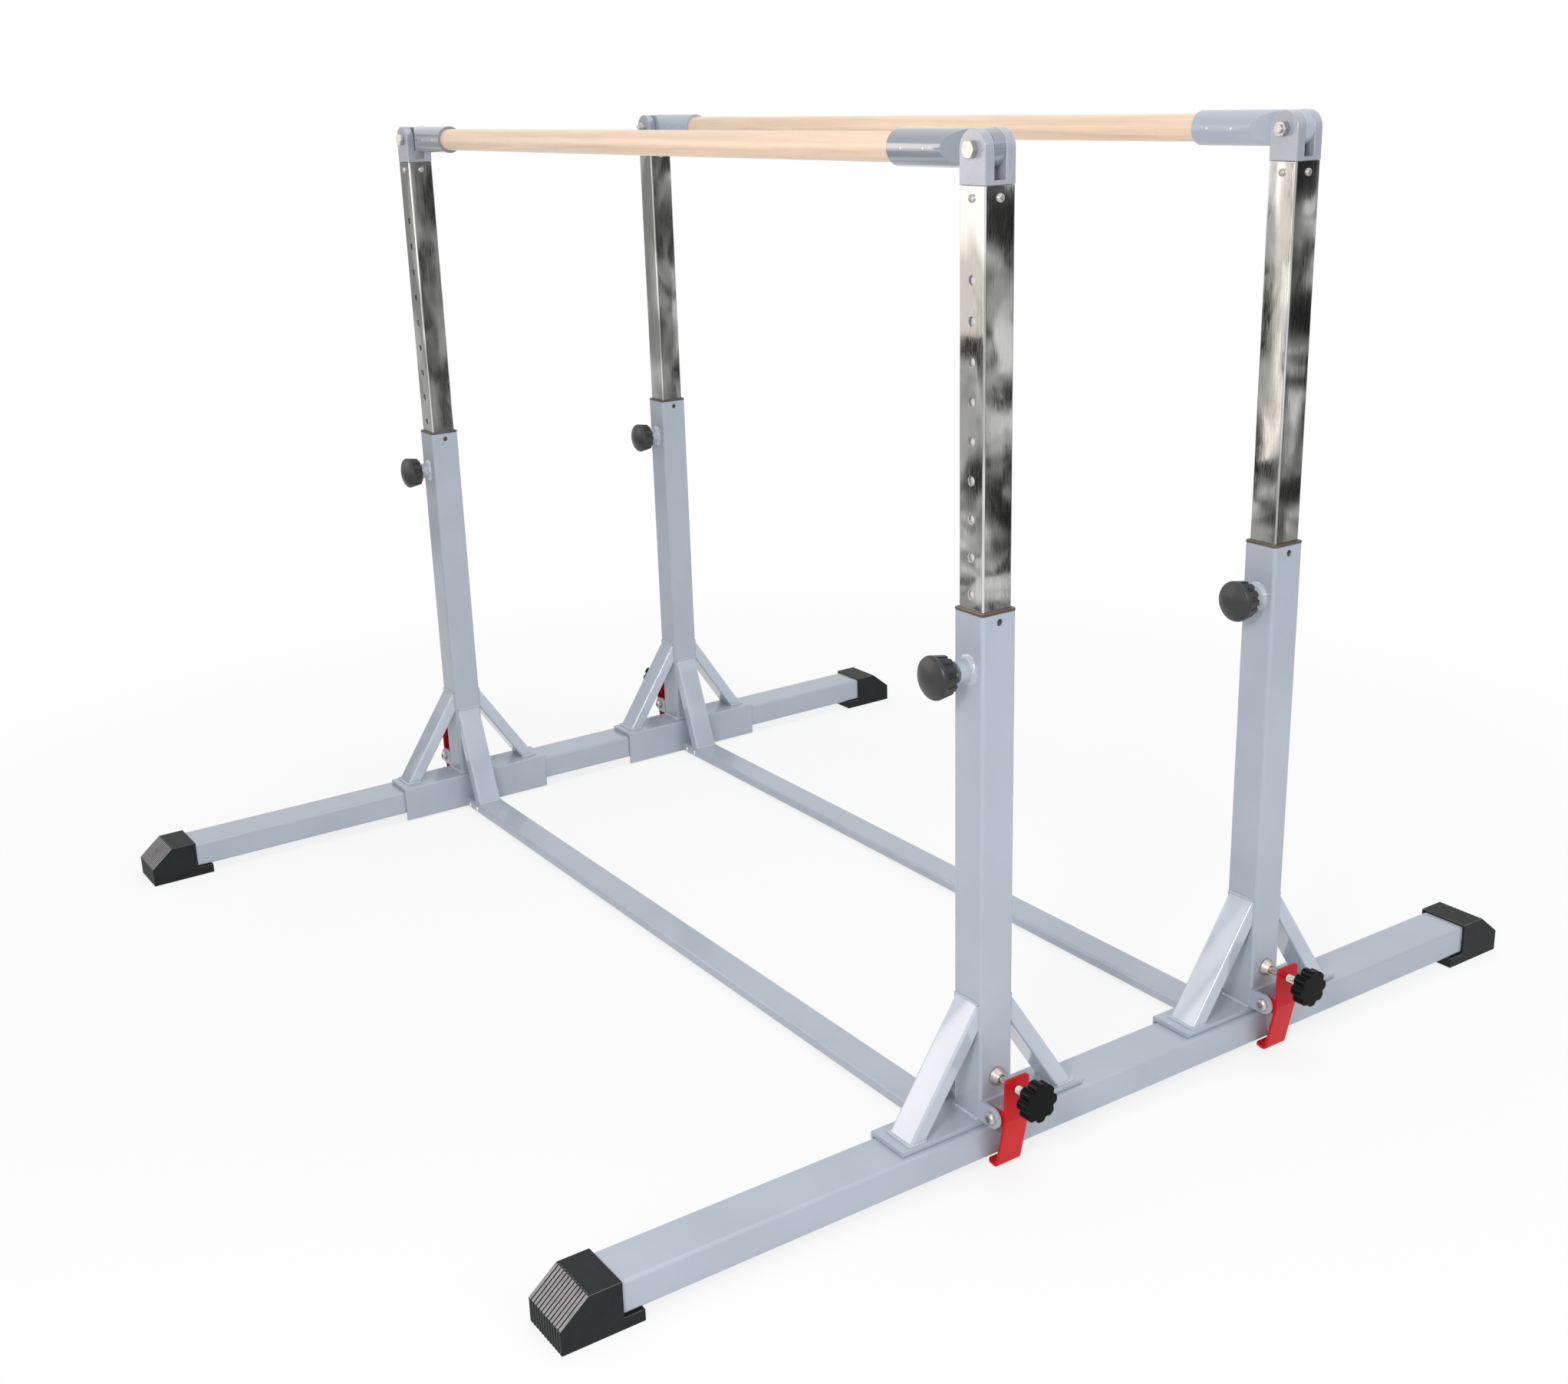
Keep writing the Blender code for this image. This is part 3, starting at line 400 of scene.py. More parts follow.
class Finish(Nodes):
    """A material, the record's slot that it belongs to, and the nodes that shade it."""

    def __init__(self, name, slot=None):
        self.slot = slot
        self.material = bpy.data.materials.new(name)
        self.material.use_nodes = True
        super().__init__(self.material.node_tree)
        self.shader = self.tree.nodes["Principled BSDF"]

    def surface(self, **sockets):
        """Sets the shader's own sockets, with underscores for the blanks in their names."""
        for name, value in sockets.items():
            self.connect(self.shader.inputs[name.replace("_", " ")], value)
        return self

    def place(self, stretch=(1, 1, 1)):
        """The point on the piece, in metres, stretched along the axes."""
        point = self.node("ShaderNodeTexCoord", output="Object")
        return self.node("ShaderNodeVectorMath", {"operation": "MULTIPLY"}, {0: point, 1: stretch})

    def grain(self, stretch, detail=3.0, roughness=0.5, distortion=0.0):
        """Noise from 0 to 1, with its cells per metre along each axis, or one number for all."""
        cells = stretch if isinstance(stretch, tuple) else (stretch,) * 3
        return self.node("ShaderNodeTexNoise", None,
                         {"Vector": self.place(cells), "Scale": 1.0, "Detail": detail,
                          "Roughness": roughness, "Distortion": distortion})

    def between(self, value, low, high):
        """The value spread out so that low becomes 0 and high becomes 1, and held there."""
        return self.node("ShaderNodeMapRange", {"clamp": True},
                         {"Value": value, "From Min": low, "From Max": high})

    def mix(self, factor, first, second):
        """Two colours mixed."""
        return self.node("ShaderNodeMix", {"data_type": "RGBA"}, {0: factor, 6: four(first), 7: four(second)}, 2)

    def tint(self, tone, colour, dark, light):
        """A colour that goes with the tone from its darker shade to its lighter one."""
        return self.mix(tone, shade(colour, dark), shade(colour, light))

    def bump(self, height, distance):
        return self.node("ShaderNodeBump", None, {"Height": height, "Distance": distance})

    def show(self, shader):
        """Puts another shader in the place of the first one."""
        self.connect(self.tree.nodes["Material Output"].inputs["Surface"], shader)


def four(colour):
    """A colour with its alpha, where it is numbers."""
    return colour if isinstance(colour, Value) else (*colour, 1.0)


def shade(colour, factor):
    """A colour made darker or lighter."""
    return tuple(min(1.0, part * factor) for part in colour)


# Finishes
def powder_coat(name, colour, slot, peel=0.00010, cell=620, roughness=0.34,
                gloss=0.45, shine=0.4, lustre=1.5, polish=0.10):
    """Baked coat with an orange-peel skin and a slight change of tone."""
    finish = Finish(name, slot)
    cloud = finish.grain(9, 4)
    speck = finish.grain(1400, 1)
    tone = finish.between(cloud * 0.8 + speck * 0.2, 0.30, 0.70)
    skin = finish.grain(cell, 2)
    return finish.surface(
        Base_Color=finish.tint(tone, colour, 0.95, 1.05),
        Roughness=finish.between(cloud, 0.2, 0.8) * 0.10 + (roughness - 0.05),
        Specular_IOR_Level=shine, Coat_Weight=gloss, Coat_Roughness=polish, Coat_IOR=lustre,
        Normal=finish.bump(skin, peel))


def cast_coat(name, colour, slot):
    """The coat over a rough casting."""
    finish = Finish(name, slot)
    cloud = finish.grain(14, 4)
    pits = finish.grain(150, 4, 0.55)
    skin = finish.grain(700, 2)
    tone = finish.between(cloud * 0.6 + pits * 0.4, 0.30, 0.70)
    return finish.surface(
        Base_Color=finish.tint(tone, colour, 0.93, 1.08),
        Roughness=finish.between(pits, 0.3, 0.7) * 0.14 + 0.28,
        Specular_IOR_Level=0.7, Coat_Weight=0.9, Coat_Roughness=0.16, Coat_IOR=1.62,
        Normal=finish.bump(pits * 0.85 + skin * 0.15, 0.0013))


def weld_coat(name, colour, slot):
    """The coat where it runs thick and glossy over a weld."""
    finish = Finish(name, slot)
    spatter = finish.grain(420, 4, 0.6)
    return finish.surface(
        Base_Color=finish.tint(finish.between(spatter, 0.3, 0.7), colour, 0.94, 1.18),
        Roughness=0.20, Specular_IOR_Level=0.8, Coat_Weight=0.9, Coat_Roughness=0.06,
        Normal=finish.bump(spatter, 0.0009))


def chrome_plate(name, colour, slot):
    """Plated square tube, drawn lengthwise: a near mirror that lies in soft waves, with fine scratches, and
    painted reflections as darker patches in its colour.
    """
    finish = Finish(name, slot)
    waves_and_painted_reflection = finish.grain((14, 14, 6), 1.5, 0.45, 0.4)
    line = finish.grain((260, 260, 2.5), 2)
    scuff = finish.grain((900, 900, 60), 3, 0.6)
    # painted reflection: the darker patches that this mixes into the colour stand in for a room mirrored in the
    # plate
    shadow = finish.between(waves_and_painted_reflection * 0.94 + line * 0.06, 0.42, 0.56)
    return finish.surface(
        Base_Color=finish.tint(shadow, colour, 0.58, 1.0), Metallic=1.0,
        Roughness=finish.between(scuff, 0.35, 0.8) * 0.07 + 0.03,
        Normal=finish.bump(waves_and_painted_reflection * 0.98 + line * 0.02, 0.00035))


def plated_steel(name, colour, slot, roughness):
    """Zinc or nickel plating on small steel pieces."""
    finish = Finish(name, slot)
    cloud = finish.grain(160, 3)
    speck = finish.grain(2400, 1)
    return finish.surface(
        Base_Color=finish.tint(finish.between(cloud, 0.3, 0.7), colour, 0.82, 1.12),
        Metallic=1.0, Roughness=finish.between(cloud, 0.3, 0.7) * 0.14 + (roughness - 0.07),
        Normal=finish.bump(speck, 0.00004))


def lacquered_wood(name, colour, slot):
    """Pale ash turned lengthwise: long grain, fine pores and a clear lacquer."""
    finish = Finish(name, slot)
    rings = finish.grain((2.2, 70, 70), 3, 0.55, 0.8)
    fibre = finish.grain((7, 620, 620), 3, 0.6)
    pores = finish.between(finish.grain((26, 1300, 1300), 2), 0.60, 0.74)
    tone = finish.between(rings * 0.75 + fibre * 0.25, 0.33, 0.68)
    board = finish.tint(tone, colour, 0.82, 1.09)
    return finish.surface(
        Base_Color=finish.mix(pores * 0.35, board, shade(colour, 0.55)),
        Roughness=finish.between(fibre, 0.3, 0.7) * 0.12 + 0.34,
        Coat_Weight=0.35, Coat_Roughness=0.16,
        Normal=finish.bump(fibre * 0.7 - pores * 0.3, 0.00006))


def ribbed_rubber(name, colour, slot):
    """Black rubber, with a painted grey highlight where its ribs run down the leaning faces of a cap."""
    finish = Finish(name, slot)
    cloud = finish.grain(30, 4, 0.6)
    erosion = finish.grain(900, 3, 0.6)
    facing_up = finish.node("ShaderNodeSeparateXYZ", None,
                            {0: finish.node("ShaderNodeNewGeometry", output="Normal")}, 2)
    # painted highlight: faces that lean between upright and level are painted grey, standing in for light
    # mirrored off the ribs
    painted_highlight_faces = finish.between(facing_up, 0.40, 0.55) * (1 - finish.between(facing_up, 0.80, 0.92))
    plain = finish.tint(finish.between(cloud * 0.5 + erosion * 0.5, 0.3, 0.7), colour, 0.7, 1.5)
    return finish.surface(
        Base_Color=finish.mix(painted_highlight_faces * finish.between(cloud, 0.10, 0.50), plain, (0.300, 0.292, 0.300)),
        Roughness=finish.between(erosion, 0.3, 0.7) * 0.12 + 0.42, Specular_IOR_Level=0.16,
        Normal=finish.bump(erosion, 0.00015))


def moulding(name, colour, slot, roughness, skin=0.00005, coat=0.0, shine=0.35):
    """Moulded rubber or plastic with its spark-eroded skin."""
    finish = Finish(name, slot)
    cloud = finish.grain(40, 3)
    erosion = finish.grain(1500, 2)
    return finish.surface(
        Base_Color=finish.tint(finish.between(cloud, 0.3, 0.7), colour, 0.80, 1.25),
        Roughness=finish.between(cloud * 0.6 + erosion * 0.4, 0.3, 0.7) * 0.12 + (roughness - 0.06),
        Specular_IOR_Level=shine, Coat_Weight=coat, Coat_Roughness=0.04,
        Normal=finish.bump(erosion, skin))


FINISHES = {}


def finish_of(name):
    """The finish of that name, made on its first use."""
    colours = bpy.context.scene.bars_colours
    makers = {
        "coat": (powder_coat, "Powder coat", colours.coat, "grey_coat", {}),
        # painted light: the braces take the frame's coat made lighter, a lit copy of the same paint
        "brace_coat": (powder_coat, "Brace coat", shade(colours.coat, 1.12), "grey_coat",
                       {"peel": 0.00004, "cell": 400, "gloss": 1.0, "lustre": 1.75, "polish": 0.05}),
        "cast_coat": (cast_coat, "Cast coat", colours.casting, "grey_coat", {}),
        "weld_coat": (weld_coat, "Weld coat", colours.coat, "grey_coat", {}),
        "socket_coat": (powder_coat, "Socket coat", colours.socket, "grey_coat",
                        {"peel": 0.00003, "cell": 500, "roughness": 0.24, "gloss": 1.0, "shine": 0.8,
                         "lustre": 1.75}),
        "lever_coat": (powder_coat, "Lever coat", colours.lever, "red_coat",
                       {"peel": 0.00012, "cell": 520, "roughness": 0.32, "gloss": 0.06, "shine": 0.12}),
        "chrome": (chrome_plate, "Chrome", colours.chrome, "chrome", {}),
        "pad_nickel": (plated_steel, "Pad nickel", (0.53, 0.48, 0.44), "chrome", {"roughness": 0.38}),
        "zinc": (plated_steel, "Zinc plate", (0.74, 0.73, 0.71), "zinc", {"roughness": 0.24}),
        "head_zinc": (plated_steel, "Head zinc", (0.50, 0.49, 0.475), "zinc", {"roughness": 0.38}),
        # painted shade: the rivet's dark colour stands in for the shade inside its hole
        "dark_screw": (plated_steel, "Dark screw", (0.16, 0.13, 0.11), "zinc", {"roughness": 0.30}),
        "brass": (plated_steel, "Brass", (0.86, 0.66, 0.36), "brass", {"roughness": 0.26}),
        "wood": (lacquered_wood, "Lacquered ash", colours.wood, "wood", {}),
        "rubber": (ribbed_rubber, "Black rubber", (0.012, 0.0145, 0.015), "rubber", {}),
        "liner": (moulding, "Tube liner", (0.80, 0.80, 0.79), "grey_coat",
                  {"roughness": 0.60, "skin": 0.00010}),
        "plunger": (moulding, "Plunger plastic", colours.plunger, "black_plastic",
                    {"roughness": 0.40, "skin": 0.00006, "shine": 0.50}),
        "guide": (moulding, "Guide plastic", colours.guide, "black_plastic", {"roughness": 0.38}),
        "wiper": (moulding, "Guide wiper", (0.28, 0.14, 0.07), "black_plastic", {"roughness": 0.50}),
        "star": (moulding, "Star plastic", (0.0015, 0.0017, 0.0018), "gloss_black",
                 {"roughness": 0.14, "skin": 0.00001, "coat": 0.12, "shine": 0.05}),
    }
    if name not in FINISHES:
        make, title, colour, slot, settings = makers[name]
        FINISHES[name] = make(title, colour, slot, **settings)
    return FINISHES[name]


# Shapes. Each returns an object that a piece uses up.
def as_object(data):
    ob = bpy.data.objects.new(data.name, data)
    bpy.context.scene.collection.objects.link(ob)
    return ob


def from_bmesh(bm, name):
    bmesh.ops.recalc_face_normals(bm, faces=bm.faces)
    mesh = bpy.data.meshes.new(name)
    bm.to_mesh(mesh)
    bm.free()
    return as_object(mesh)


def apply_modifiers(ob):
    graph = bpy.context.evaluated_depsgraph_get()
    mesh = bpy.data.meshes.new_from_object(ob.evaluated_get(graph))
    ob.modifiers.clear()
    ob.data = mesh
    return ob


@contextmanager
def editing(ob):
    """A shape's mesh, open for changes."""
    bm = bmesh.new()
    bm.from_mesh(ob.data)
    yield bm
    bm.to_mesh(ob.data)
    bm.free()


def gathered(shapes):
    """The meshes of several shapes in one; the shapes are used up."""
    bm = bmesh.new()
    for shape in shapes:
        bm.from_mesh(shape.data)
        bpy.data.objects.remove(shape)
    return bm


def arc(centre, radius, first, last, steps):
    """Points on an arc between two angles in degrees, ends included."""
    angles = [radians(first + (last - first) * i / steps) for i in range(steps + 1)]
    return [(centre[0] + radius * cos(angle), centre[1] + radius * sin(angle)) for angle in angles]


def rounded_rectangle(width, height, radius, steps=6):
    points = []
    for across, up, first in ((1, 1, 0), (-1, 1, 90), (-1, -1, 180), (1, -1, 270)):
        corner = (across * (width / 2 - radius), up * (height / 2 - radius))
        points += arc(corner, radius, first, first + 90, steps)
    return points


def circle(diameter, steps):
    return [(diameter / 2 * cos(2 * pi * i / steps), diameter / 2 * sin(2 * pi * i / steps))
            for i in range(steps)]


def mirrored(points, side):
    """An outline with its first coordinate turned round for the far side."""
    return [(side * across, up) for across, up in points]


def prism(loop, low, high, plane="XY", hollow=None):
    """A flat outline given a thickness; hollow is a second loop, of as many points, left out of it."""
    bm = bmesh.new()
    rings = [[[bm.verts.new((across, up, level)) for across, up in points] for level in (low, high)]
             for points in ((loop, hollow) if hollow else (loop,))]
    count = len(loop)
    for bottom, top in rings:
        for i in range(count):
            bm.faces.new((bottom[i - 1], bottom[i], top[i], top[i - 1]))
    if hollow:
        for outer, inner in zip(*rings):
            for i in range(count):
                bm.faces.new((outer[i - 1], outer[i], inner[i], inner[i - 1]))
    else:
        for level in rings[0]:
            bm.faces.new(level)
    ob = from_bmesh(bm, "prism")
    ob.data.transform(PLANES[plane])
    return ob


def hollow_bar(width, height, corner, wall, low, high, plane="XY"):
    """A rectangular tube with rounded corners."""
    outer, inner = [rounded_rectangle(width - cut, height - cut, corner - cut / 2) for cut in (0, 2 * wall)]
    return prism(outer, low, high, plane, inner)


def box(low, high):
    corners = [(low[0], low[1]), (high[0], low[1]), (high[0], high[1]), (low[0], high[1])]
    return prism(corners, low[2], high[2])


def along(shape, axis, at=(0, 0), sign=1):
    """Turns a shape made about Z so that it lies about an axis; at holds the other two coordinates."""
    place = list(at)
    place.insert("XYZ".index(axis), 0)
    reverse = Matrix.Identity(4) if sign > 0 else Matrix.Rotation(pi, 4, "X")
    shape.data.transform(Matrix.Translation(place) @ AXES[axis] @ reverse)
    return shape


def rod(diameter, start, end, axis, at=(0, 0), steps=32):
    return along(prism(circle(diameter, steps), min(start, end), max(start, end)), axis, at)


def turned(profile, axis="Z", at=(0, 0), sign=1, steps=48, swell=None):
    """Revolves (radius, height) points; swell changes a radius by angle, height and point number."""
    bm = bmesh.new()
    rings = []
    for number, (radius, height) in enumerate(profile):
        if radius == 0:
            rings.append([bm.verts.new((0, 0, height))])
            continue
        ring = []
        for i in range(steps):
            angle = 2 * pi * i / steps
            out = radius + (swell(angle, number) if swell else 0)
            ring.append(bm.verts.new((out * cos(angle), out * sin(angle), height)))
        rings.append(ring)
    pairs = list(zip(rings, rings[1:]))
    if len(rings[0]) > 1 and len(rings[-1]) > 1:
        pairs.append((rings[-1], rings[0]))
    for below, above in pairs:
        for i in range(steps):
            corners = [below[i - 1 if len(below) > 1 else 0], below[i if len(below) > 1 else 0],
                       above[i if len(above) > 1 else 0], above[i - 1 if len(above) > 1 else 0]]
            bm.faces.new(list(dict.fromkeys(corners)))
    return along(from_bmesh(bm, "turned"), axis, at, sign)


def combine(ob, tool, operation="DIFFERENCE"):
    """Cuts, joins or intersects with a second shape, which is used up."""
    mod = ob.modifiers.new(operation.title(), "BOOLEAN")
    mod.operation = operation
    mod.object = tool
    apply_modifiers(ob)
    bpy.data.objects.remove(tool)
    return ob


def round_edges(ob, width, steps=2, angle=38):
    """Rounds the sharp edges of a shape."""
    with editing(ob) as bm:
        bmesh.ops.remove_doubles(bm, verts=bm.verts, dist=SAME_POINT)
        bmesh.ops.dissolve_limit(bm, angle_limit=radians(1), verts=bm.verts, edges=bm.edges)
    mod = ob.modifiers.new("Bevel", "BEVEL")
    mod.width = width
    mod.segments = steps
    mod.limit_method = "ANGLE"
    mod.angle_limit = radians(angle)
    mod.use_clamp_overlap = True
    return apply_modifiers(ob)


def slice_off(ob, point, outward):
    """Cuts a shape by a plane and drops what lies on its outward side; the cut stays open."""
    with editing(ob) as bm:
        bmesh.ops.bisect_plane(bm, geom=[*bm.verts, *bm.edges, *bm.faces], plane_co=point, plane_no=outward,
                               clear_outer=True)
    return ob


def moved(ob, x=0.0, y=0.0, z=0.0, turn=0.0):
    """Turns a shape about Z and then moves it."""
    ob.data.transform(Matrix.Translation((x, y, z)) @ Matrix.Rotation(turn, 4, "Z"))
    return ob


def copied(ob):
    return as_object(ob.data.copy())


def bead(path, width, seed=0.0):
    """A weld bead along a path, with the ripples that its drops leave."""
    points = [Vector(point) for point in path]
    step, samples = width / 5, []
    for start, end in zip(points, points[1:]):
        count = max(1, round((end - start).length / step))
        samples += [start.lerp(end, i / count) for i in range(count)]
    samples.append(points[-1])
    bm = bmesh.new()
    rings = []
    for i, point in enumerate(samples):
        ahead = samples[min(i + 1, len(samples) - 1)] - samples[max(i - 1, 0)]
        turn = ahead.normalized().to_track_quat("Z", "Y").to_matrix()
        wobble = noise.noise(point * 260 + Vector((seed, 0, 0))) * 0.22
        end_taper = min(1.0, 0.45 + 0.2 * min(i, len(samples) - 1 - i))
        radius = width / 2 * end_taper * (0.94 + 0.10 * sin(i * 2 * pi / 4.6) + wobble)
        rings.append([bm.verts.new(point + turn @ Vector((radius * cos(a), radius * sin(a), 0)))
                      for a in (2 * pi * k / BEAD_FACES for k in range(BEAD_FACES))])
    for below, above in zip(rings, rings[1:]):
        for k in range(BEAD_FACES):
            bm.faces.new((below[k - 1], below[k], above[k], above[k - 1]))
    bm.faces.new(rings[0])
    bm.faces.new(rings[-1])
    return from_bmesh(bm, "bead")


def piece(name, shapes, finish, node, *stands_for):
    """Joins shapes into one piece that rides with a node's body and may stand for nodes."""
    bm = gathered(shapes)
    mesh = bpy.data.meshes.new(name)
    bm.to_mesh(mesh)
    bm.free()
    ob = as_object(mesh)
    ob.name = name
    look = finish_of(finish)
    mesh.materials.clear()
    mesh.materials.append(look.material)
    mesh.polygons.foreach_set("material_index", [0] * len(mesh.polygons))
    mesh.shade_smooth()
    mesh.set_sharp_from_angle(angle=SMOOTH_ANGLE)
    weights = ob.modifiers.new("Weighted normals", "WEIGHTED_NORMAL")
    weights.keep_sharp = True
    apply_modifiers(ob)
    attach(ob, frame["nodes"][node]["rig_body"])
    if stands_for:
        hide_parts(*stands_for)


def dress(node, shapes, finish):
    """Makes shapes the finished form of a node."""
    piece(node + "_finished", shapes, finish, node, node)


class Station:
    """One post with its place and the side that it is on."""

    def __init__(self, row, end):
        self.row, self.end = row, end
        self.stem = f"{row}_{end}"
        self.side = 1 if end == "near" else -1
        self.facing = -1 if row == "front" else 1
        low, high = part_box(self.stem + "_inner_tube")
        self.x, self.y, _ = (low + high) / 2
        self.tube_bottom, self.tube_top = low.z, high.z
        self.pivot = high.z + CLEVIS_HEIGHT

    def placed(self, shapes, z, x):
        return [moved(shape, self.x + x, self.y, z) for shape in shapes]

    def dress(self, part, shapes, finish, z=0.0, x=0.0):
        """Makes shapes, given about the post's axis, the finished form of one of its nodes."""
        dress(f"{self.stem}_{part}", self.placed(shapes, z, x), finish)

    def add(self, name, shapes, finish, part, z=0.0, x=0.0):
        """Makes shapes a further piece, which rides with one of its nodes."""
        piece(f"{self.stem}_{name}", self.placed(shapes, z, x), finish, f"{self.stem}_{part}")


STATIONS = [Station(row, end) for row in ROWS for end in ENDS]


def pan_screw(diameter, height):
    """A pan-head screw standing on Z = 0 with a cross recess."""
    radius = diameter / 2
    head = turned([(radius * 0.98, -0.0004), (radius, height * 0.12), (radius * 0.95, height * 0.52),
                   (radius * 0.78, height * 0.82), (radius * 0.45, height * 0.97), (0, height)], steps=32)
    slot = diameter * 0.10
    cross = combine(box((-radius * 0.55, -slot, height * 0.35), (radius * 0.55, slot, height * 2)),
                    box((-slot, -radius * 0.55, height * 0.35), (slot, radius * 0.55, height * 2)), "UNION")
    return round_edges(combine(head, cross), diameter * 0.02, 1)


def socket_button(diameter, height, socket):
    """A button head standing on Z = 0 with a hexagon socket."""
    radius = diameter / 2
    head = turned([(radius, -0.0004), (radius, height * 0.18), (radius * 0.96, height * 0.45),
                   (radius * 0.84, height * 0.78), (radius * 0.64, height * 0.97), (radius * 0.55, height),
                   (0, height)], steps=40)
    return round_edges(combine(head, prism(circle(socket, 6), height * 0.3, height * 2)), 0.0003, 2, 30)


def chamfered_hexagon(flats, start, end):
    """A hexagon along Z from start to end, with its corners turned off at the far face."""
    corner = flats / sqrt(3)
    low, high = min(start, end), max(start, end)
    drop = (corner - flats / 2) * 0.50
    top_radius, base_radius = flats * 0.488, corner + 0.001
    base = [(top_radius, low), (base_radius, low + drop)] if end < start else [(base_radius, low)]
    top = [(base_radius, high - drop), (top_radius, high)] if end > start else [(base_radius, high)]
    turning = turned([(0, low), *base, *top, (0, high)])
    bar = prism(circle(2 * corner, 6), low, high)
    return round_edges(combine(bar, turning, "INTERSECT"), 0.0004, 2, 25)


# Posts, saddles, rails and floor tubes
def brace(top, foot, floor, turn):
    """Flat tube leaning on the post, cut level where it stands and upright where it leans."""
    low, high = Vector((foot, floor)), Vector((POST_HALF, top))
    lean = atan2(foot - POST_HALF, top - floor)
    length = (low - high).length + 4 * BRACE_DEPTH
    middle = (low + high) / 2 - Vector((cos(lean), sin(lean))) * BRACE_DEPTH / 2
    tube = hollow_bar(BRACE_DEPTH, BRACE_WIDTH, BRACE_CORNER, BRACE_WALL, -length / 2, length / 2)
    tube.data.transform(Matrix.Translation((middle.x, 0, middle.y)) @ Matrix.Rotation(-lean, 4, "Y"))
    slice_off(tube, (0, 0, floor + 0.0002), (0, 0, -1))
    slice_off(tube, (POST_HALF - 0.0004, 0, 0), (-1, 0, 0))
    return moved(tube, turn=turn)


def brace_shapes(side):
    """The two braces along the rail and the one that stands on the floor tube."""
    inward = pi if side > 0 else 0
    return [brace(SIDE_BRACE_TOP, SIDE_BRACE_FOOT, SADDLE_TOP, radians(90)),
            brace(SIDE_BRACE_TOP, SIDE_BRACE_FOOT, SADDLE_TOP, radians(-90)),
            brace(INNER_BRACE_TOP, INNER_BRACE_FOOT, FLOOR_TUBE_TOP, inward)]


def post_shapes(side):
    """The post's tube with its clamp bracket and plunger boss."""
    steps = bpy.context.scene.bars_sizes.round_steps
    tube = hollow_bar(POST_WIDTH, POST_WIDTH, POST_CORNER, POST_WALL, POST_FOOT, POST_TOP)
    combine(tube, rod(RIVET_HOLE, POST_HALF - 2 * POST_WALL, POST_HALF + POST_WALL, "X", (0, RIVET_HEIGHT)))
    combine(tube, rod(2 * BOSS_BORE, -POST_HALF - POST_WALL, 2 * POST_WALL - POST_HALF, "Y",
                      (0, PLUNGER_HEIGHT), 48))
    shapes = [tube]
    low, high = CLAMP_HEIGHT - EAR_RADIUS, CLAMP_HEIGHT + EAR_RADIUS
    root = POST_HALF - POST_WALL / 2
    ear = [(root, low), *arc((CLAMP_REACH, CLAMP_HEIGHT), EAR_RADIUS, -90, 90, 24), (root, high)]
    half = POST_HALF - FIT_GAP
    edge = bpy.context.scene.bars_sizes.plate_edge
    for inner, outer in ((-half, -half + EAR_THICK), (half - EAR_THICK, half)):
        shapes.append(round_edges(prism(mirrored(ear, side), -outer, -inner, "XZ"), edge))
    web = sorted((side * root, side * (POST_HALF + BRACKET_WEB)))
    within = half - EAR_THICK + 0.001
    shapes.append(round_edges(box((web[0], -within, low), (web[1], within, high)), edge))
    radius = BOSS_DIAMETER / 2
    face = POST_HALF + BOSS_LENGTH
    boss = [(BOSS_BORE, root), (radius, root), (radius, face - 0.0010), (radius - 0.0003, face - 0.0003),
            (radius - 0.0010, face), (BOSS_BORE + 0.0003, face), (BOSS_BORE, face - 0.0004)]
    shapes.append(turned(boss, "Y", (0, PLUNGER_HEIGHT), -1, steps))
    return shapes


def boss_weld(seed):
    """The flared weld round the root of the plunger's boss, laid in drops."""
    root, radius, throat = POST_HALF, BOSS_DIAMETER / 2, BOSS_THROAT
    flare = [(radius + throat * (1 - sin(radians(a))), root + throat * (1 - cos(radians(a))))
             for a in (8, 20, 35, 50, 65, 80)]
    profile = [(radius - 0.001, root - 0.0005), (flare[0][0], root - 0.0005), *flare,
               (radius - 0.001, flare[-1][1])]

    def drops(angle, number):
        if not 1 <= number <= len(flare):
            return 0.0
        spot = Vector((cos(angle), sin(angle), seed + number * 0.15))
        return 0.0003 * sin(angle * 17 + seed) * (number / len(flare)) + 0.0008 * noise.noise(spot * 2.2)

    return turned(profile, "Y", (0, PLUNGER_HEIGHT), -1, 96, drops)


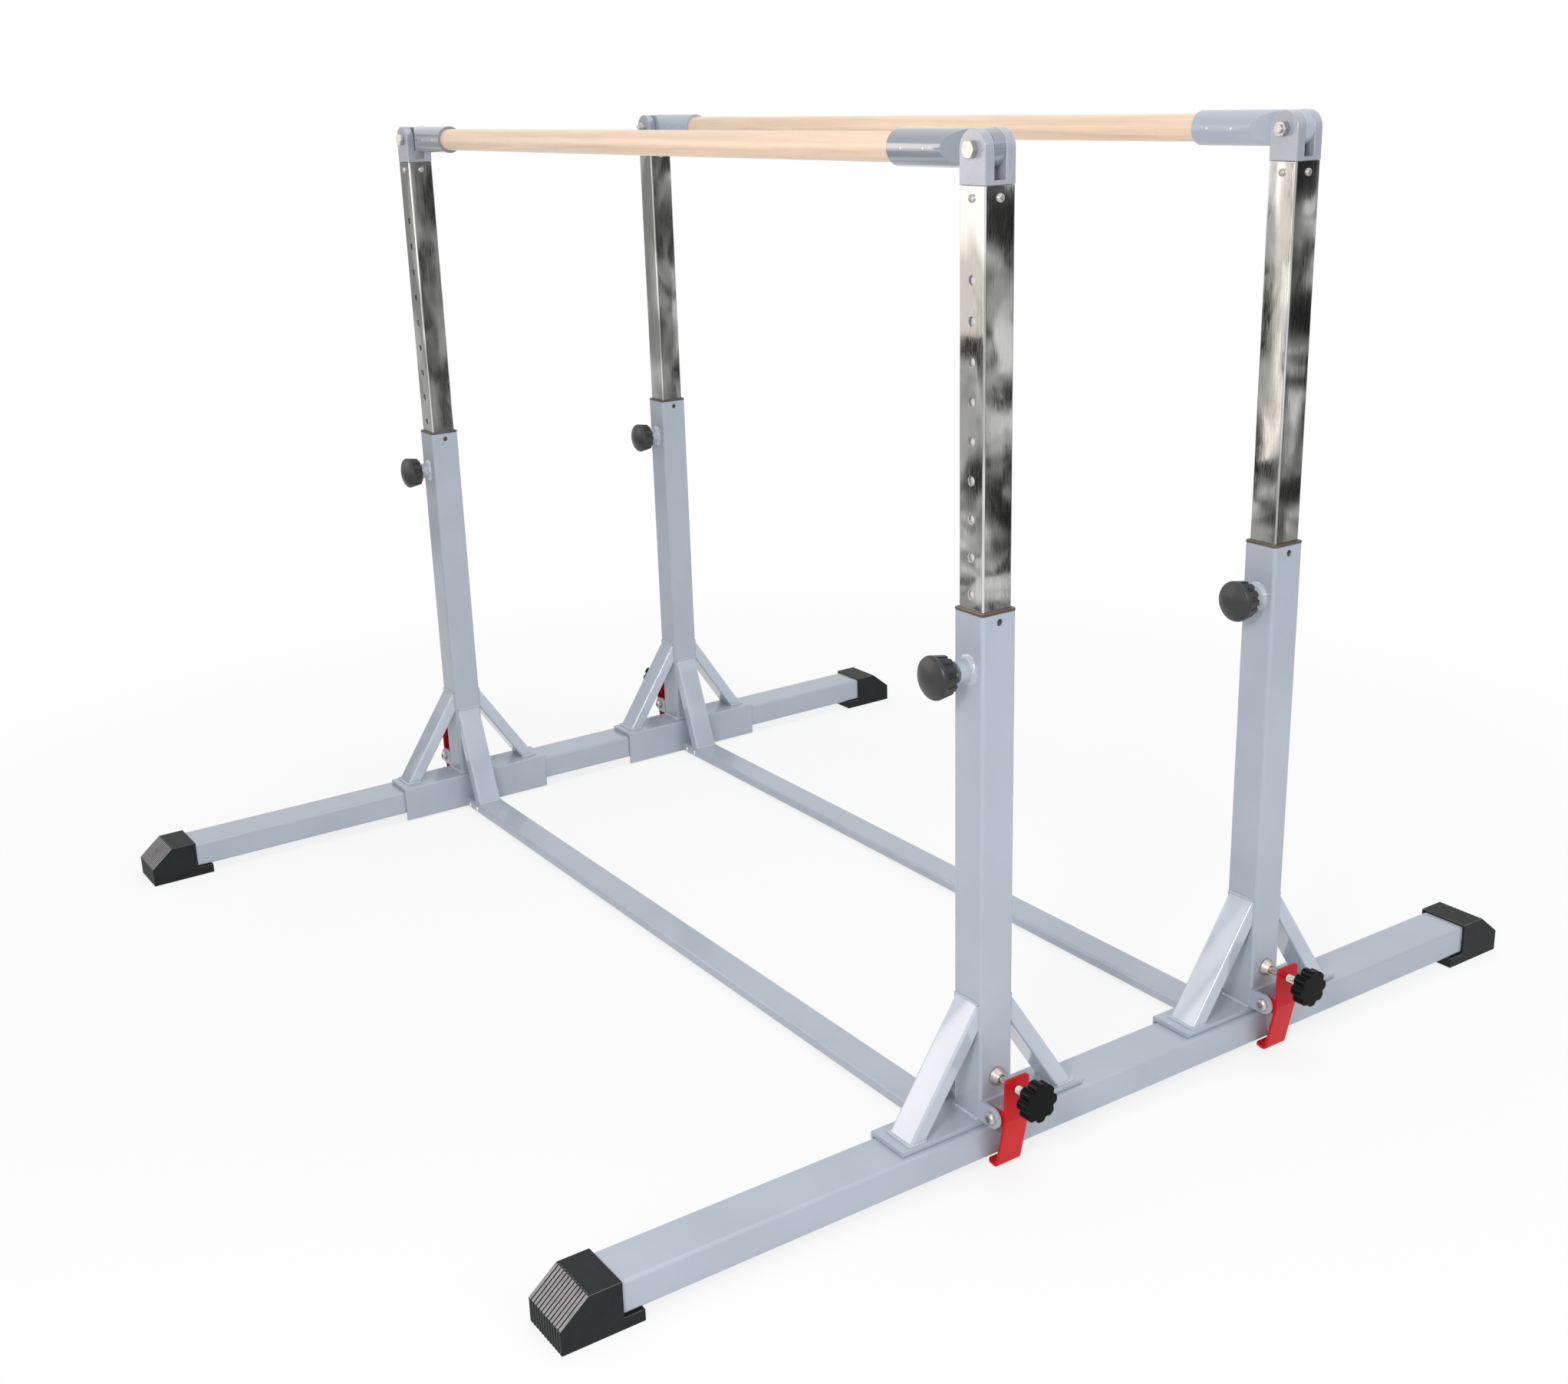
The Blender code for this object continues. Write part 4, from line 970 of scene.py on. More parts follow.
def post_welds(station):
    """Beads round the feet of the post and its braces and up where the braces lean."""
    width = bpy.context.scene.bars_sizes.weld_width
    side, rise, half = station.side, SADDLE_TOP + WELD_LIFT, POST_HALF + 0.0004
    out, wide = POST_HALF - 0.004, BRACE_WIDTH / 2
    foot = [(side * out, -half, rise), (-side * out, -half, rise), (-side * half, -out, rise),
            (-side * half, out, rise), (-side * out, half, rise), (side * out, half, rise)]
    beads = [bead(foot, width * POST_BEAD, station.x + station.y)]
    lean = atan2(SIDE_BRACE_FOOT - POST_HALF, SIDE_BRACE_TOP - SADDLE_TOP)
    top, bottom = SIDE_BRACE_TOP, SIDE_BRACE_TOP - BRACE_DEPTH / sin(lean)
    for way in (1, -1):
        outer = way * (SIDE_BRACE_FOOT + WELD_LIFT)
        inner = way * (SIDE_BRACE_FOOT - BRACE_DEPTH / cos(lean) - WELD_LIFT)
        foot = [(wide, inner, rise), (wide, outer, rise), (-wide, outer, rise), (-wide, inner, rise)]
        beads.append(bead(foot, width * BRACE_BEAD, way + station.x))
        lap = [(wide - 0.003, way * half, bottom), (wide, way * half, top), (-wide, way * half, top),
               (-wide + 0.003, way * half, bottom)]
        beads.append(bead(lap, width * LAP_BEAD, way * 2 + station.y))
    lean = atan2(INNER_BRACE_FOOT - POST_HALF, INNER_BRACE_TOP - FLOOR_TUBE_TOP)
    top, bottom, face = INNER_BRACE_TOP, INNER_BRACE_TOP - BRACE_DEPTH / sin(lean), -side * half
    lap = [(face, wide, bottom), (face, wide, top), (face, -wide, top), (face, -wide, bottom)]
    beads.append(bead(lap, width * LAP_BEAD, 3 + station.y))
    inner, outer = -side * (INNER_BRACE_FOOT - BRACE_DEPTH / cos(lean)), -side * INNER_BRACE_FOOT
    rise = FLOOR_TUBE_TOP + 0.0004
    foot = [(inner, wide, rise), (outer, wide, rise), (outer, -wide, rise), (inner, -wide, rise)]
    beads.append(bead(foot, width * LAP_BEAD, 4 + station.y))
    for way in (1, -1):
        up = [(side * (POST_HALF - 0.0002), way * (POST_HALF - 0.0020), CLAMP_HEIGHT + reach)
              for reach in (-EAR_RADIUS, EAR_RADIUS)]
        beads.append(bead(up, width * EAR_BEAD, 5 + way))
    return beads


def guide_rim():
    """The rounded lip of the guide on the post's top edge."""
    rim = prism(rounded_rectangle(GUIDE_WIDTH, GUIDE_WIDTH, 0.0070), POST_TOP + 0.0001, POST_TOP + GUIDE_RISE,
                "XY", rounded_rectangle(GUIDE_OPENING, GUIDE_OPENING, 0.0050))
    return round_edges(rim, 0.0012, 3)


def guide_wiper(opening):
    """The thin ring within the lip, close round the sliding tube."""
    return prism(rounded_rectangle(WIPER_WIDTH, WIPER_WIDTH, 0.0050), POST_TOP - 0.004, POST_TOP + 0.0034, "XY",
                 rounded_rectangle(opening, opening, 0.0042))


def guide_rivet():
    """The hollow rivet in the post's outer face."""
    profile = [(0.0049, 0), (0.0049, 0.0004), (0.0037, 0.0013), (0.0016, 0.0014), (0.0012, 0.0006), (0, 0.0006)]
    return moved(turned(profile, "X", (0, RIVET_HEIGHT), 1, 24), POST_HALF - 0.0024)


class BARS_OT_posts(bpy.types.Operator):
    """Posts with their braces, brackets, bosses, welds and guide rims"""
    bl_idname = "bars.posts"
    bl_label = "Posts"

    def execute(self, context):
        for station in STATIONS:
            station.dress("post", post_shapes(station.side), "coat")
            # painted light: the braces' coat is a lighter copy of the posts' coat
            station.add("braces", brace_shapes(station.side), "brace_coat", "post")
            welds = [*post_welds(station), boss_weld(station.x * 3 + station.y)]
            station.add("welds", welds, "weld_coat", "post")
            station.add("guide_rim", [guide_rim()], "guide", "post")
            station.add("guide_wiper", [guide_wiper(WIPER_OPENING[station.end])], "wiper", "post")
            # painted shade: the rivet is coloured dark to stand in for the shade in its hole
            station.add("guide_rivet", [guide_rivet()], "dark_screw", "post")
        return {"FINISHED"}


class BARS_OT_saddles(bpy.types.Operator):
    """Bent saddle plates that sit on the base rails"""
    bl_idname = "bars.saddles"
    bl_label = "Saddles"

    def execute(self, context):
        edge = context.scene.bars_sizes.plate_edge
        within, end = SADDLE_SIDE - SADDLE_SIDE_PLATE, POST_HALF - FIT_GAP
        bend = arc((-SADDLE_SIDE + SADDLE_CORNER, SADDLE_TOP - SADDLE_CORNER), SADDLE_CORNER, 90, 180, 8)
        profile = [(end, SADDLE_TOP), *bend, (-SADDLE_SIDE, SADDLE_LIFT), (-within, SADDLE_LIFT),
                   (-within, SADDLE_UNDER), (end, SADDLE_UNDER)]
        for station in STATIONS:
            plate = prism(mirrored(profile, station.side), -SADDLE_LENGTH / 2, SADDLE_LENGTH / 2, "XZ")
            station.dress("saddle", [round_edges(plate, edge)], "coat")
        return {"FINISHED"}


class BARS_OT_base_rails(bpy.types.Operator):
    """The two base rails and their rubber end caps"""
    bl_idname = "bars.base_rails"
    bl_label = "Base Rails"

    def execute(self, context):
        for end in ENDS:
            node = end + "_base_rail"
            low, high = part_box(node)
            rail = hollow_bar(high.x - low.x, high.z - low.z, RAIL_CORNER, RAIL_WALL, low.y, high.y, "XZ")
            middle = (low + high) / 2
            moved(rail, middle.x, 2 * middle.y, middle.z)
            dress(node, [rail], "coat")
            for row in ROWS:
                cap = f"{end}_{row}_end_cap"
                dress(cap, [round_edges(copied(frame["nodes"][cap]), CAP_EDGE)], "rubber")
        return {"FINISHED"}


class BARS_OT_floor_tubes(bpy.types.Operator):
    """Flat floor tubes between the saddles, with their screws"""
    bl_idname = "bars.floor_tubes"
    bl_label = "Floor Tubes"

    def execute(self, context):
        screw = pan_screw(context.scene.bars_sizes.screw_head, FLOOR_SCREW_THICK)
        for row in ROWS:
            node = row + "_floor_tube"
            low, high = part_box(node)
            middle = (low + high) / 2
            tube = hollow_bar(FLOOR_TUBE_WIDTH, FLOOR_TUBE_HEIGHT, FLOOR_TUBE_CORNER, FLOOR_TUBE_WALL,
                              low.x, high.x, "YZ")
            dress(node, [moved(tube, 0, middle.y, middle.z)], "coat")
            heads = [moved(along(copied(screw), "Y", (end + way * distance, middle.z), -1), 0, low.y)
                     for end, way in ((low.x, 1), (high.x, -1)) for distance in FLOOR_SCREWS]
            piece(row + "_floor_tube_screws", heads, "zinc", node)
        bpy.data.objects.remove(screw)
        return {"FINISHED"}


# Sliding tubes, heads and bars
class BARS_OT_sliding_tubes(bpy.types.Operator):
    """Chrome tubes with their rows of holes and their top screws"""
    bl_idname = "bars.sliding_tubes"
    bl_label = "Sliding Tubes"

    def execute(self, context):
        sizes = context.scene.bars_sizes
        screw = pan_screw(sizes.screw_head, TUBE_SCREW_THICK)
        for station in STATIONS:
            bottom, top, face = station.tube_bottom, station.tube_top, station.facing * TUBE_HALF
            tube = hollow_bar(TUBE_WIDTH, TUBE_WIDTH, TUBE_CORNER, TUBE_WALL, bottom, top)
            drills = [rod(sizes.hole_diameter, face * 1.4, face * 0.6, "Y", (0, top - TOP_HOLE - i * HOLE_PITCH))
                      for i in range(HOLE_COUNT)]
            combine(tube, from_bmesh(gathered(drills), "drills"))
            station.dress("inner_tube", [round_edges(tube, TUBE_EDGE)], "chrome")
            back = station.facing * (TUBE_HALF - LINER_DEPTH)
            strip = box((-LINER_HALF, min(back, back * 0.95), bottom + LINER_FOOT),
                        (LINER_HALF, max(back, back * 0.95), top - LINER_TOP))
            station.add("tube_liner", [strip], "liner", "inner_tube")
            height = top - TUBE_SCREW_DROP
            heads = [moved(along(copied(screw), "Y", (0, height), -1), 0, -TUBE_HALF),
                     moved(along(copied(screw), "X", (0, height)), TUBE_HALF)]
            station.add("tube_screws", heads, "head_zinc", "inner_tube")
        bpy.data.objects.remove(screw)
        return {"FINISHED"}


def clevis_shape(edge):
    """Fork head about its pivot: two round-topped ears on a block."""
    foot = FIT_GAP - CLEVIS_HEIGHT
    shape = [(-TUBE_HALF, foot), (TUBE_HALF, foot), *arc((0, 0), TUBE_HALF, 0, 180, 36)]
    head = prism(shape, -TUBE_HALF, TUBE_HALF, "XZ")
    slot, beyond = CLEVIS_SLOT / 2, TUBE_HALF + 0.01
    combine(head, box((-beyond, -slot, foot + CLEVIS_FLOOR), (beyond, slot, beyond)))
    combine(head, rod(PIVOT_BOLT + BOLT_PLAY, -beyond, beyond, "Y"))
    return round_edges(head, edge, 3)


def socket_shape(side, edge):
    """Round bar socket that runs out through two sloping cheeks into a round-ended tang."""
    radius, tang = SOCKET_DIAMETER / 2, CLEVIS_SLOT / 2 - FIT_GAP
    beyond, far, inward = radius + 0.01, SOCKET_REACH + 0.01, -side
    body = rod(SOCKET_DIAMETER, -inward * radius, inward * SOCKET_REACH, "X", steps=64)
    around = [*arc((0, 0), radius - FIT_GAP, 90, 270, 32), (CHEEK_END, -beyond), (far, -beyond),
              (far, beyond), (CHEEK_END, beyond)]
    combine(body, prism(mirrored(around, inward), -beyond, beyond, "XZ"), "INTERSECT")
    for y in (1, -1):
        cheek = [(-beyond, y * tang), (TANG_SHOULDER, y * tang), (CHEEK_END, y * radius),
                 (CHEEK_END, y * beyond), (-beyond, y * beyond)]
        combine(body, prism(mirrored(cheek, inward), -beyond, beyond, "XY"))
    mouth = inward * (SOCKET_REACH - SOCKET_DEPTH)
    combine(body, rod(BAR_DIAMETER + BAR_PLAY, mouth, inward * far, "X", steps=64))
    combine(body, rod(PIVOT_BOLT + BOLT_PLAY, -beyond, beyond, "Y"))
    for reach in SOCKET_SCREWS:
        combine(body, rod(DIMPLE, DIMPLE_DEPTH - radius, -beyond, "Y", (inward * reach, 0), 24))
    return round_edges(body, edge, 2, 24)


def dimple_pin(reach):
    """The pin at the bottom of a dimple in a socket, at its reach from the pivot."""
    profile = [(0.0019, 0), (0.0017, 0.0007), (0.0008, 0.0008), (0.0007, 0.0003), (0, 0.0003)]
    return moved(turned(profile, "Y", (reach, 0), -1, 24), 0, DIMPLE_DEPTH - SOCKET_DIAMETER / 2)


def pivot_bolt_shapes():
    """Bolt head, nut and shank about Z, with the head up."""
    face, radius = TUBE_HALF + FIT_GAP, PIVOT_BOLT / 2
    tip = -face - PIVOT_NUT_THICK - PIVOT_BOLT_TIP
    shank = [(0, tip), (radius - 0.001, tip), (radius, tip + 0.001), (radius, face + 0.001), (0, face + 0.001)]
    return [chamfered_hexagon(PIVOT_HEAD, face, face + PIVOT_HEAD_THICK),
            chamfered_hexagon(PIVOT_NUT, -face, -face - PIVOT_NUT_THICK), turned(shank, steps=32)]


class BARS_OT_heads(bpy.types.Operator):
    """Clevis heads, bar sockets and the pivot bolts through them"""
    bl_idname = "bars.heads"
    bl_label = "Heads and Sockets"

    def execute(self, context):
        edge = context.scene.bars_sizes.cast_edge
        for station in STATIONS:
            level = station.pivot
            station.dress("clevis", [clevis_shape(edge)], "cast_coat", level)
            # painted shade: the front sockets take a darker copy of the coat than the rear ones
            coat = "socket_coat" if station.row == "front" else "coat"
            station.dress("bar_socket", [socket_shape(station.side, edge * 0.5)], coat, level)
            pins = [dimple_pin(-station.side * reach) for reach in SOCKET_SCREWS]
            station.add("socket_screws", pins, "zinc", "bar_socket", level)
            bolt = [along(shape, "Y", sign=station.facing) for shape in pivot_bolt_shapes()]
            station.dress("pivot_bolt", bolt, "head_zinc", level)
        return {"FINISHED"}


class BARS_OT_wooden_bars(bpy.types.Operator):
    """The two round wooden bars"""
    bl_idname = "bars.wooden_bars"
    bl_label = "Wooden Bars"

    def execute(self, context):
        for row in ROWS:
            node = row + "_bar"
            low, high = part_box(node)
            bar = rod(BAR_DIAMETER, low.x, high.x, "X", steps=72)
            middle = (low + high) / 2
            moved(round_edges(bar, BAR_EDGE), 0, middle.y, middle.z)
            dress(node, [bar], "wood")
        return {"FINISHED"}


# Plungers and clamps
def plunger_shape():
    """Mushroom knob about Z: a domed face, a rounded shoulder, a skirt with flutes, and the pin."""
    radius, waist = PLUNGER_KNOB / 2, PLUNGER_WAIST / 2
    back, rim = PLUNGER_BACK, PLUNGER_BACK + PLUNGER_SKIRT
    recess = BOSS_DIAMETER / 2 + 0.001
    face_edge, turn = radius - 0.0042, 0.0058
    bulge = (face_edge ** 2 + PLUNGER_DOME ** 2) / (2 * PLUNGER_DOME)
    spread = degrees(asin(face_edge / bulge))
    dome = arc((0, rim + PLUNGER_DOME - bulge), bulge, 90 - spread, 90, 16)
    shoulder = arc((radius - turn, rim - turn), turn, 0, 66, 8)
    top = shoulder[0][1]
    skirt = [(waist + (radius - waist) * i / 16, back + (top - back) * i / 16) for i in range(1, 16)]
    profile = [(0, back + PLUNGER_RECESS), (recess, back + PLUNGER_RECESS), (recess, back + 0.0003),
               (recess + 0.0005, back), (waist - 0.0030, back), (waist - 0.0012, back + 0.0004),
               (waist - 0.0003, back + 0.0013), *skirt, *shoulder, (face_edge + 0.0006, rim - 0.0001),
               *dome[:-1], (0, rim + PLUNGER_DOME)]

    def flutes(angle, number):
        height = profile[number][1]
        end = back + FLUTE_REACH
        if number < 4 or height > end:
            return 0.0
        fade = min(1.0, (end - height) / FLUTE_FADE)
        turned_by = (angle * FLUTES / (2 * pi)) % 1 - 0.5
        across = abs(turned_by) * 2 * pi / FLUTES * radius / (FLUTE_WIDTH / 2)
        return -FLUTE_DEPTH * fade * sqrt(max(0.0, 1 - min(1.0, across) ** 4))

    thick = PIN_DIAMETER / 2
    pin = turned([(0, PIN_TIP), (thick - 0.0008, PIN_TIP), (thick, PIN_TIP + 0.0008), (thick, rim), (0, rim)],
                 steps=32)
    return [turned(profile, steps=FLUTES * 18, swell=flutes), pin]


class BARS_OT_plungers(bpy.types.Operator):
    """Spring plungers with their brass bushes"""
    bl_idname = "bars.plungers"
    bl_label = "Plungers"

    def execute(self, context):
        steps = context.scene.bars_sizes.round_steps
        seat, root = POST_HALF + BOSS_LENGTH + FIT_GAP, POST_HALF - POST_WALL
        collar, shank, bore = BUSH_COLLAR / 2, BUSH_SHANK / 2, BUSH_BORE / 2
        face = seat + BUSH_COLLAR_THICK
        bush = [(bore, root), (shank, root), (shank, seat), (collar - 0.0005, seat), (collar, seat + 0.0005),
                (collar, face - 0.0008), (collar - 0.0008, face), (bore, face)]
        for station in STATIONS:
            station.dress("plunger_bush", [turned(bush, "Y", (0, PLUNGER_HEIGHT), -1, steps)], "brass")
            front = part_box(station.stem + "_plunger")[0].y
            drawn = station.y - front - (PLUNGER_BACK + PLUNGER_SKIRT + PLUNGER_DOME)
            shapes = [moved(along(shape, "Y", (0, PLUNGER_HEIGHT), -1), 0, -drawn) for shape in plunger_shape()]
            station.dress("plunger", shapes, "plunger")
        return {"FINISHED"}


def side_points(path, offset, radius, steps=8):
    """One side of a bent strip: the path moved sideways, with its bends rounded."""
    path = [Vector(point) for point in path]
    out = []
    for i, point in enumerate(path):
        before = (point - path[i - 1]).normalized() if i else None
        after = (path[i + 1] - point).normalized() if i < len(path) - 1 else None
        if before is None or after is None:
            way = after or before
            out.append(tuple(point + offset * Vector((-way.y, way.x))))
            continue
        cross = before.x * after.y - before.y * after.x
        half = atan2(abs(cross), before.dot(after)) / 2
        hand = 1 if cross > 0 else -1
        centre = point + Vector((-before.y, before.x)) * hand * radius - before * radius * tan(half)
        first = degrees(atan2(before.x * -hand, before.y * hand))
        out += arc(centre, radius - hand * offset, first, first + hand * degrees(2 * half), steps)
    return out


def lever_shape(side, edge):
    """Bent strip about the clamp's pivot, with rounded ends, lugs and its stud hole."""
    middle = LEVER_THICK / 2
    arm = LEVER_FACE - middle - CLAMP_REACH
    lip_z = RAIL_UNDER - HOOK_GAP - middle - CLAMP_HEIGHT
    hook_x, lip_x = RAIL_HALF + HOOK_OUT - CLAMP_REACH, RAIL_HALF - HOOK_LAP - CLAMP_REACH
    path = [(arm, LEVER_TOP - CLAMP_HEIGHT), (arm, 0), (hook_x, lip_z - HOOK_DROP), (lip_x, lip_z)]
    strip = side_points(path, middle, LEVER_BEND) + side_points(path, -middle, LEVER_BEND)[::-1]
    lever = prism(mirrored(strip, side), -LEVER_WIDTH / 2, LEVER_WIDTH / 2, "XZ")
    with editing(lever) as bm:
        corners = [e for e in bm.edges if abs(e.verts[0].co.y - e.verts[1].co.y) < SAME_POINT
                   and abs(e.calc_length() - LEVER_THICK) < SAME_POINT]
        bmesh.ops.bevel(bm, geom=corners, offset=LEVER_ROUND, segments=8, profile=0.5, affect="EDGES")
    combine(lever, rod(STUD_DIAMETER + STUD_PLAY, side * (arm - 0.01), side * (arm + 0.01), "X",
                       (0, STUD_HEIGHT - CLAMP_HEIGHT)))
    lug = [(arm, LUG_RADIUS), *arc((0, 0), LUG_RADIUS, 90, 270, 20), (arm, -LUG_RADIUS)]
    bore = circle(LUG_BORE, 32)
    shapes = [round_edges(lever, edge, 2, 30)]
    for y in (1, -1):
        face = LEVER_WIDTH / 2 - LUG_INSET
        inner, outer = sorted((y * face, y * (face - LUG_THICK)))
        plate = prism(mirrored(lug, side), -outer, -inner, "XZ")
        combine(plate, prism(bore, -outer - 0.01, -inner + 0.01, "XZ"))
        shapes.append(round_edges(plate, edge * 0.7))
    return shapes


def star_shape():
    """Star knob about Z: broad lobes with narrow valleys, its edges well rounded, and its hub."""
    outline = []
    steps = STAR_LOBES * 20
    for i in range(steps):
        angle = 2 * pi * i / steps
        valley = (1 - cos(STAR_LOBES * angle)) / 2
        radius = STAR_DIAMETER / 2 - STAR_LOBE_DEPTH * valley ** 2.6
        outline.append((radius * cos(angle), radius * sin(angle)))
    star = round_edges(prism(outline, STAR_BACK, STAR_BACK + STAR_THICK), STAR_EDGE, 4, 60)
    inside, foot, radius = STAR_BACK + 0.002, STAR_BACK - STAR_HUB_LENGTH, STAR_HUB / 2
    hub = turned([(0, inside), (radius, inside), (radius, foot + 0.0008), (radius - 0.0008, foot), (0, foot)])
    return [star, hub]


def stud_shape():
    """Threaded stud about Z."""
    tip, end, pitch = POST_HALF + 0.0061, STAR_BACK - 0.004, THREAD_PITCH
    crest, root = STUD_DIAMETER / 2, STUD_DIAMETER / 2 - THREAD_DEPTH
    profile = [(0, tip), (crest - 0.0012, tip), (crest - 0.0002, tip + 0.0012), (crest - 0.0002, LEVER_FACE)]
    height = LEVER_FACE
    while height + pitch < end:
        profile += [(crest, height + pitch * 0.30), (crest, height + pitch * 0.45), (root, height + pitch * 0.95)]
        height += pitch
    return turned([*profile, (root, end), (0, end)], steps=32)


def pad_shape():
    """Swivel pad about Z: a flat foot, a cone and the seat of the stud's tip."""
    start = POST_HALF + FIT_GAP
    end, floor = start + PAD_LENGTH, start + PAD_FLOOR
    return turned([(0, start), (PAD_RADIUS - 0.0004, start), (PAD_RADIUS, start + 0.0004),
                   (PAD_RADIUS, start + 0.0026), (PAD_RADIUS - 0.0004, start + 0.0031), (PAD_NECK, end - 0.0005),
                   (PAD_NECK - 0.0006, end), (PAD_BORE, end), (PAD_BORE, floor), (0, floor)])


def clamp_bolt_shapes():
    """Button head, nut and shank about Z, with the head up."""
    face, radius = POST_HALF + FIT_GAP, CLAMP_BOLT / 2
    tip = -face - CLAMP_NUT_THICK - CLAMP_BOLT_TIP
    shank = [(0, tip), (radius - 0.0006, tip), (radius, tip + 0.0006), (radius, face + 0.001), (0, face + 0.001)]
    return [moved(socket_button(CLAMP_HEAD, CLAMP_HEAD_THICK, CLAMP_SOCKET), z=face),
            chamfered_hexagon(CLAMP_NUT, -face, -face - CLAMP_NUT_THICK), turned(shank, steps=32)]


class BARS_OT_clamps(bpy.types.Operator):
    """Rail clamps: levers, swivel pads, studs, star knobs and their bolts"""
    bl_idname = "bars.clamps"
    bl_label = "Clamps"

    def execute(self, context):
        edge = context.scene.bars_sizes.plate_edge
        for station in STATIONS:
            side = station.side
            station.dress("clamp_lever", lever_shape(side, edge), "lever_coat", CLAMP_HEIGHT, side * CLAMP_REACH)
            pad, *star, stud = [along(shape, "X", (0, STUD_HEIGHT), side)
                                for shape in (pad_shape(), *star_shape(), stud_shape())]
            station.dress("clamp_pad", [pad], "pad_nickel")
            station.dress("clamp_knob", star, "star")
            station.add("clamp_stud", [stud], "zinc", "clamp_knob")
            bolt = [along(shape, "Y", sign=-1) for shape in clamp_bolt_shapes()]
            station.dress("clamp_bolt", bolt, "head_zinc", CLAMP_HEIGHT, side * CLAMP_REACH)
        return {"FINISHED"}


# Studio
def studio_floor():
    """A plain pale floor that keeps the object's shadow and fades into the white around it."""
    finish = Finish("Studio floor")
    finish.surface(Base_Color=(0.86, 0.86, 0.87, 1), Roughness=0.9, Specular_IOR_Level=0.0)
    white = finish.node("ShaderNodeEmission", None, {"Color": (1, 1, 1, 1), "Strength": 1.0})
    seen = finish.rays("Camera", "Glossy")
    distance = finish.node("ShaderNodeVectorMath", {"operation": "LENGTH"}, {0: finish.place()}, 1)
    share = finish.between(distance, 0.9, 2.6) * 0.20 + 0.80
    lit = Value(finish, finish.shader.outputs[0])
    finish.show(finish.node("ShaderNodeMixShader", None, {0: seen * share, 1: lit, 2: white}))
    return finish


def white_world(level):
    """A white room: the level lights the object, and what sees it directly sees plain white."""
    world = bpy.data.worlds.new("White room")
    bpy.context.scene.world = world
    world.use_nodes = True
    room = Nodes(world.node_tree)
    seen = room.rays("Camera", "Glossy", "Transmission")
    background = room.tree.nodes["Background"].inputs
    room.connect(background["Strength"], room.node("ShaderNodeMapRange", None, {"Value": seen, "To Min": level}))
    background["Color"].default_value = (1, 1, 1, 1)


def soft_box(name, place, aim, size, power, colour):
    """A large soft lamp turned towards a point."""
    lamp = bpy.data.lights.new(name, "AREA")
    lamp.shape = "RECTANGLE"
    lamp.size, lamp.size_y = size
    lamp.energy = power
    lamp.color = colour
    ob = as_object(lamp)
    ob.location = place
    ob.rotation_euler = (Vector(aim) - Vector(place)).to_track_quat("-Z", "Y").to_euler()


def studio_card(name, place, aim, size, colour, low, high, cells, depth=0.01):
    """A card that only shiny surfaces see, mottled between two strengths."""
    finish = Finish(name)
    mottle = finish.between(finish.grain(cells, 3, 0.55, 0.8), 0.44, 0.56)
    strength = mottle * (high - low) + low
    finish.show(finish.node("ShaderNodeEmission", None, {"Color": (*colour, 1), "Strength": strength}))
    wide, tall = size
    card = box((-wide / 2, -depth / 2, -tall / 2), (wide / 2, depth / 2, tall / 2))
    card.name = name
    card.data.materials.append(finish.material)
    heading = atan2(aim[0] - place[0], place[1] - aim[1])
    moved(card, *place, heading)
    for ray in ("camera", "diffuse", "transmission", "volume_scatter", "shadow"):
        setattr(card, "visible_" + ray, False)


def studio_camera():
    """The camera that the picture was taken with."""
    level = cos(CAMERA_PITCH)
    ahead = Vector((-sin(CAMERA_YAW) * level, cos(CAMERA_YAW) * level, -sin(CAMERA_PITCH)))
    across = Vector((cos(CAMERA_YAW), sin(CAMERA_YAW), 0))
    down = ahead.cross(across)
    right = cos(CAMERA_ROLL) * across + sin(CAMERA_ROLL) * down
    below = cos(CAMERA_ROLL) * down - sin(CAMERA_ROLL) * across
    lens = bpy.data.cameras.new("Studio camera")
    lens.sensor_fit = "HORIZONTAL"
    lens.sensor_width = 36
    lens.lens = FOCAL_PIXELS * lens.sensor_width / PICTURE_WIDTH
    lens.shift_x, lens.shift_y = CAMERA_SHIFT
    ob = as_object(lens)
    ob.matrix_world = Matrix.Translation(CAMERA_PLACE) @ Matrix((right, -below, -ahead)).transposed().to_4x4()
    bpy.context.scene.camera = ob


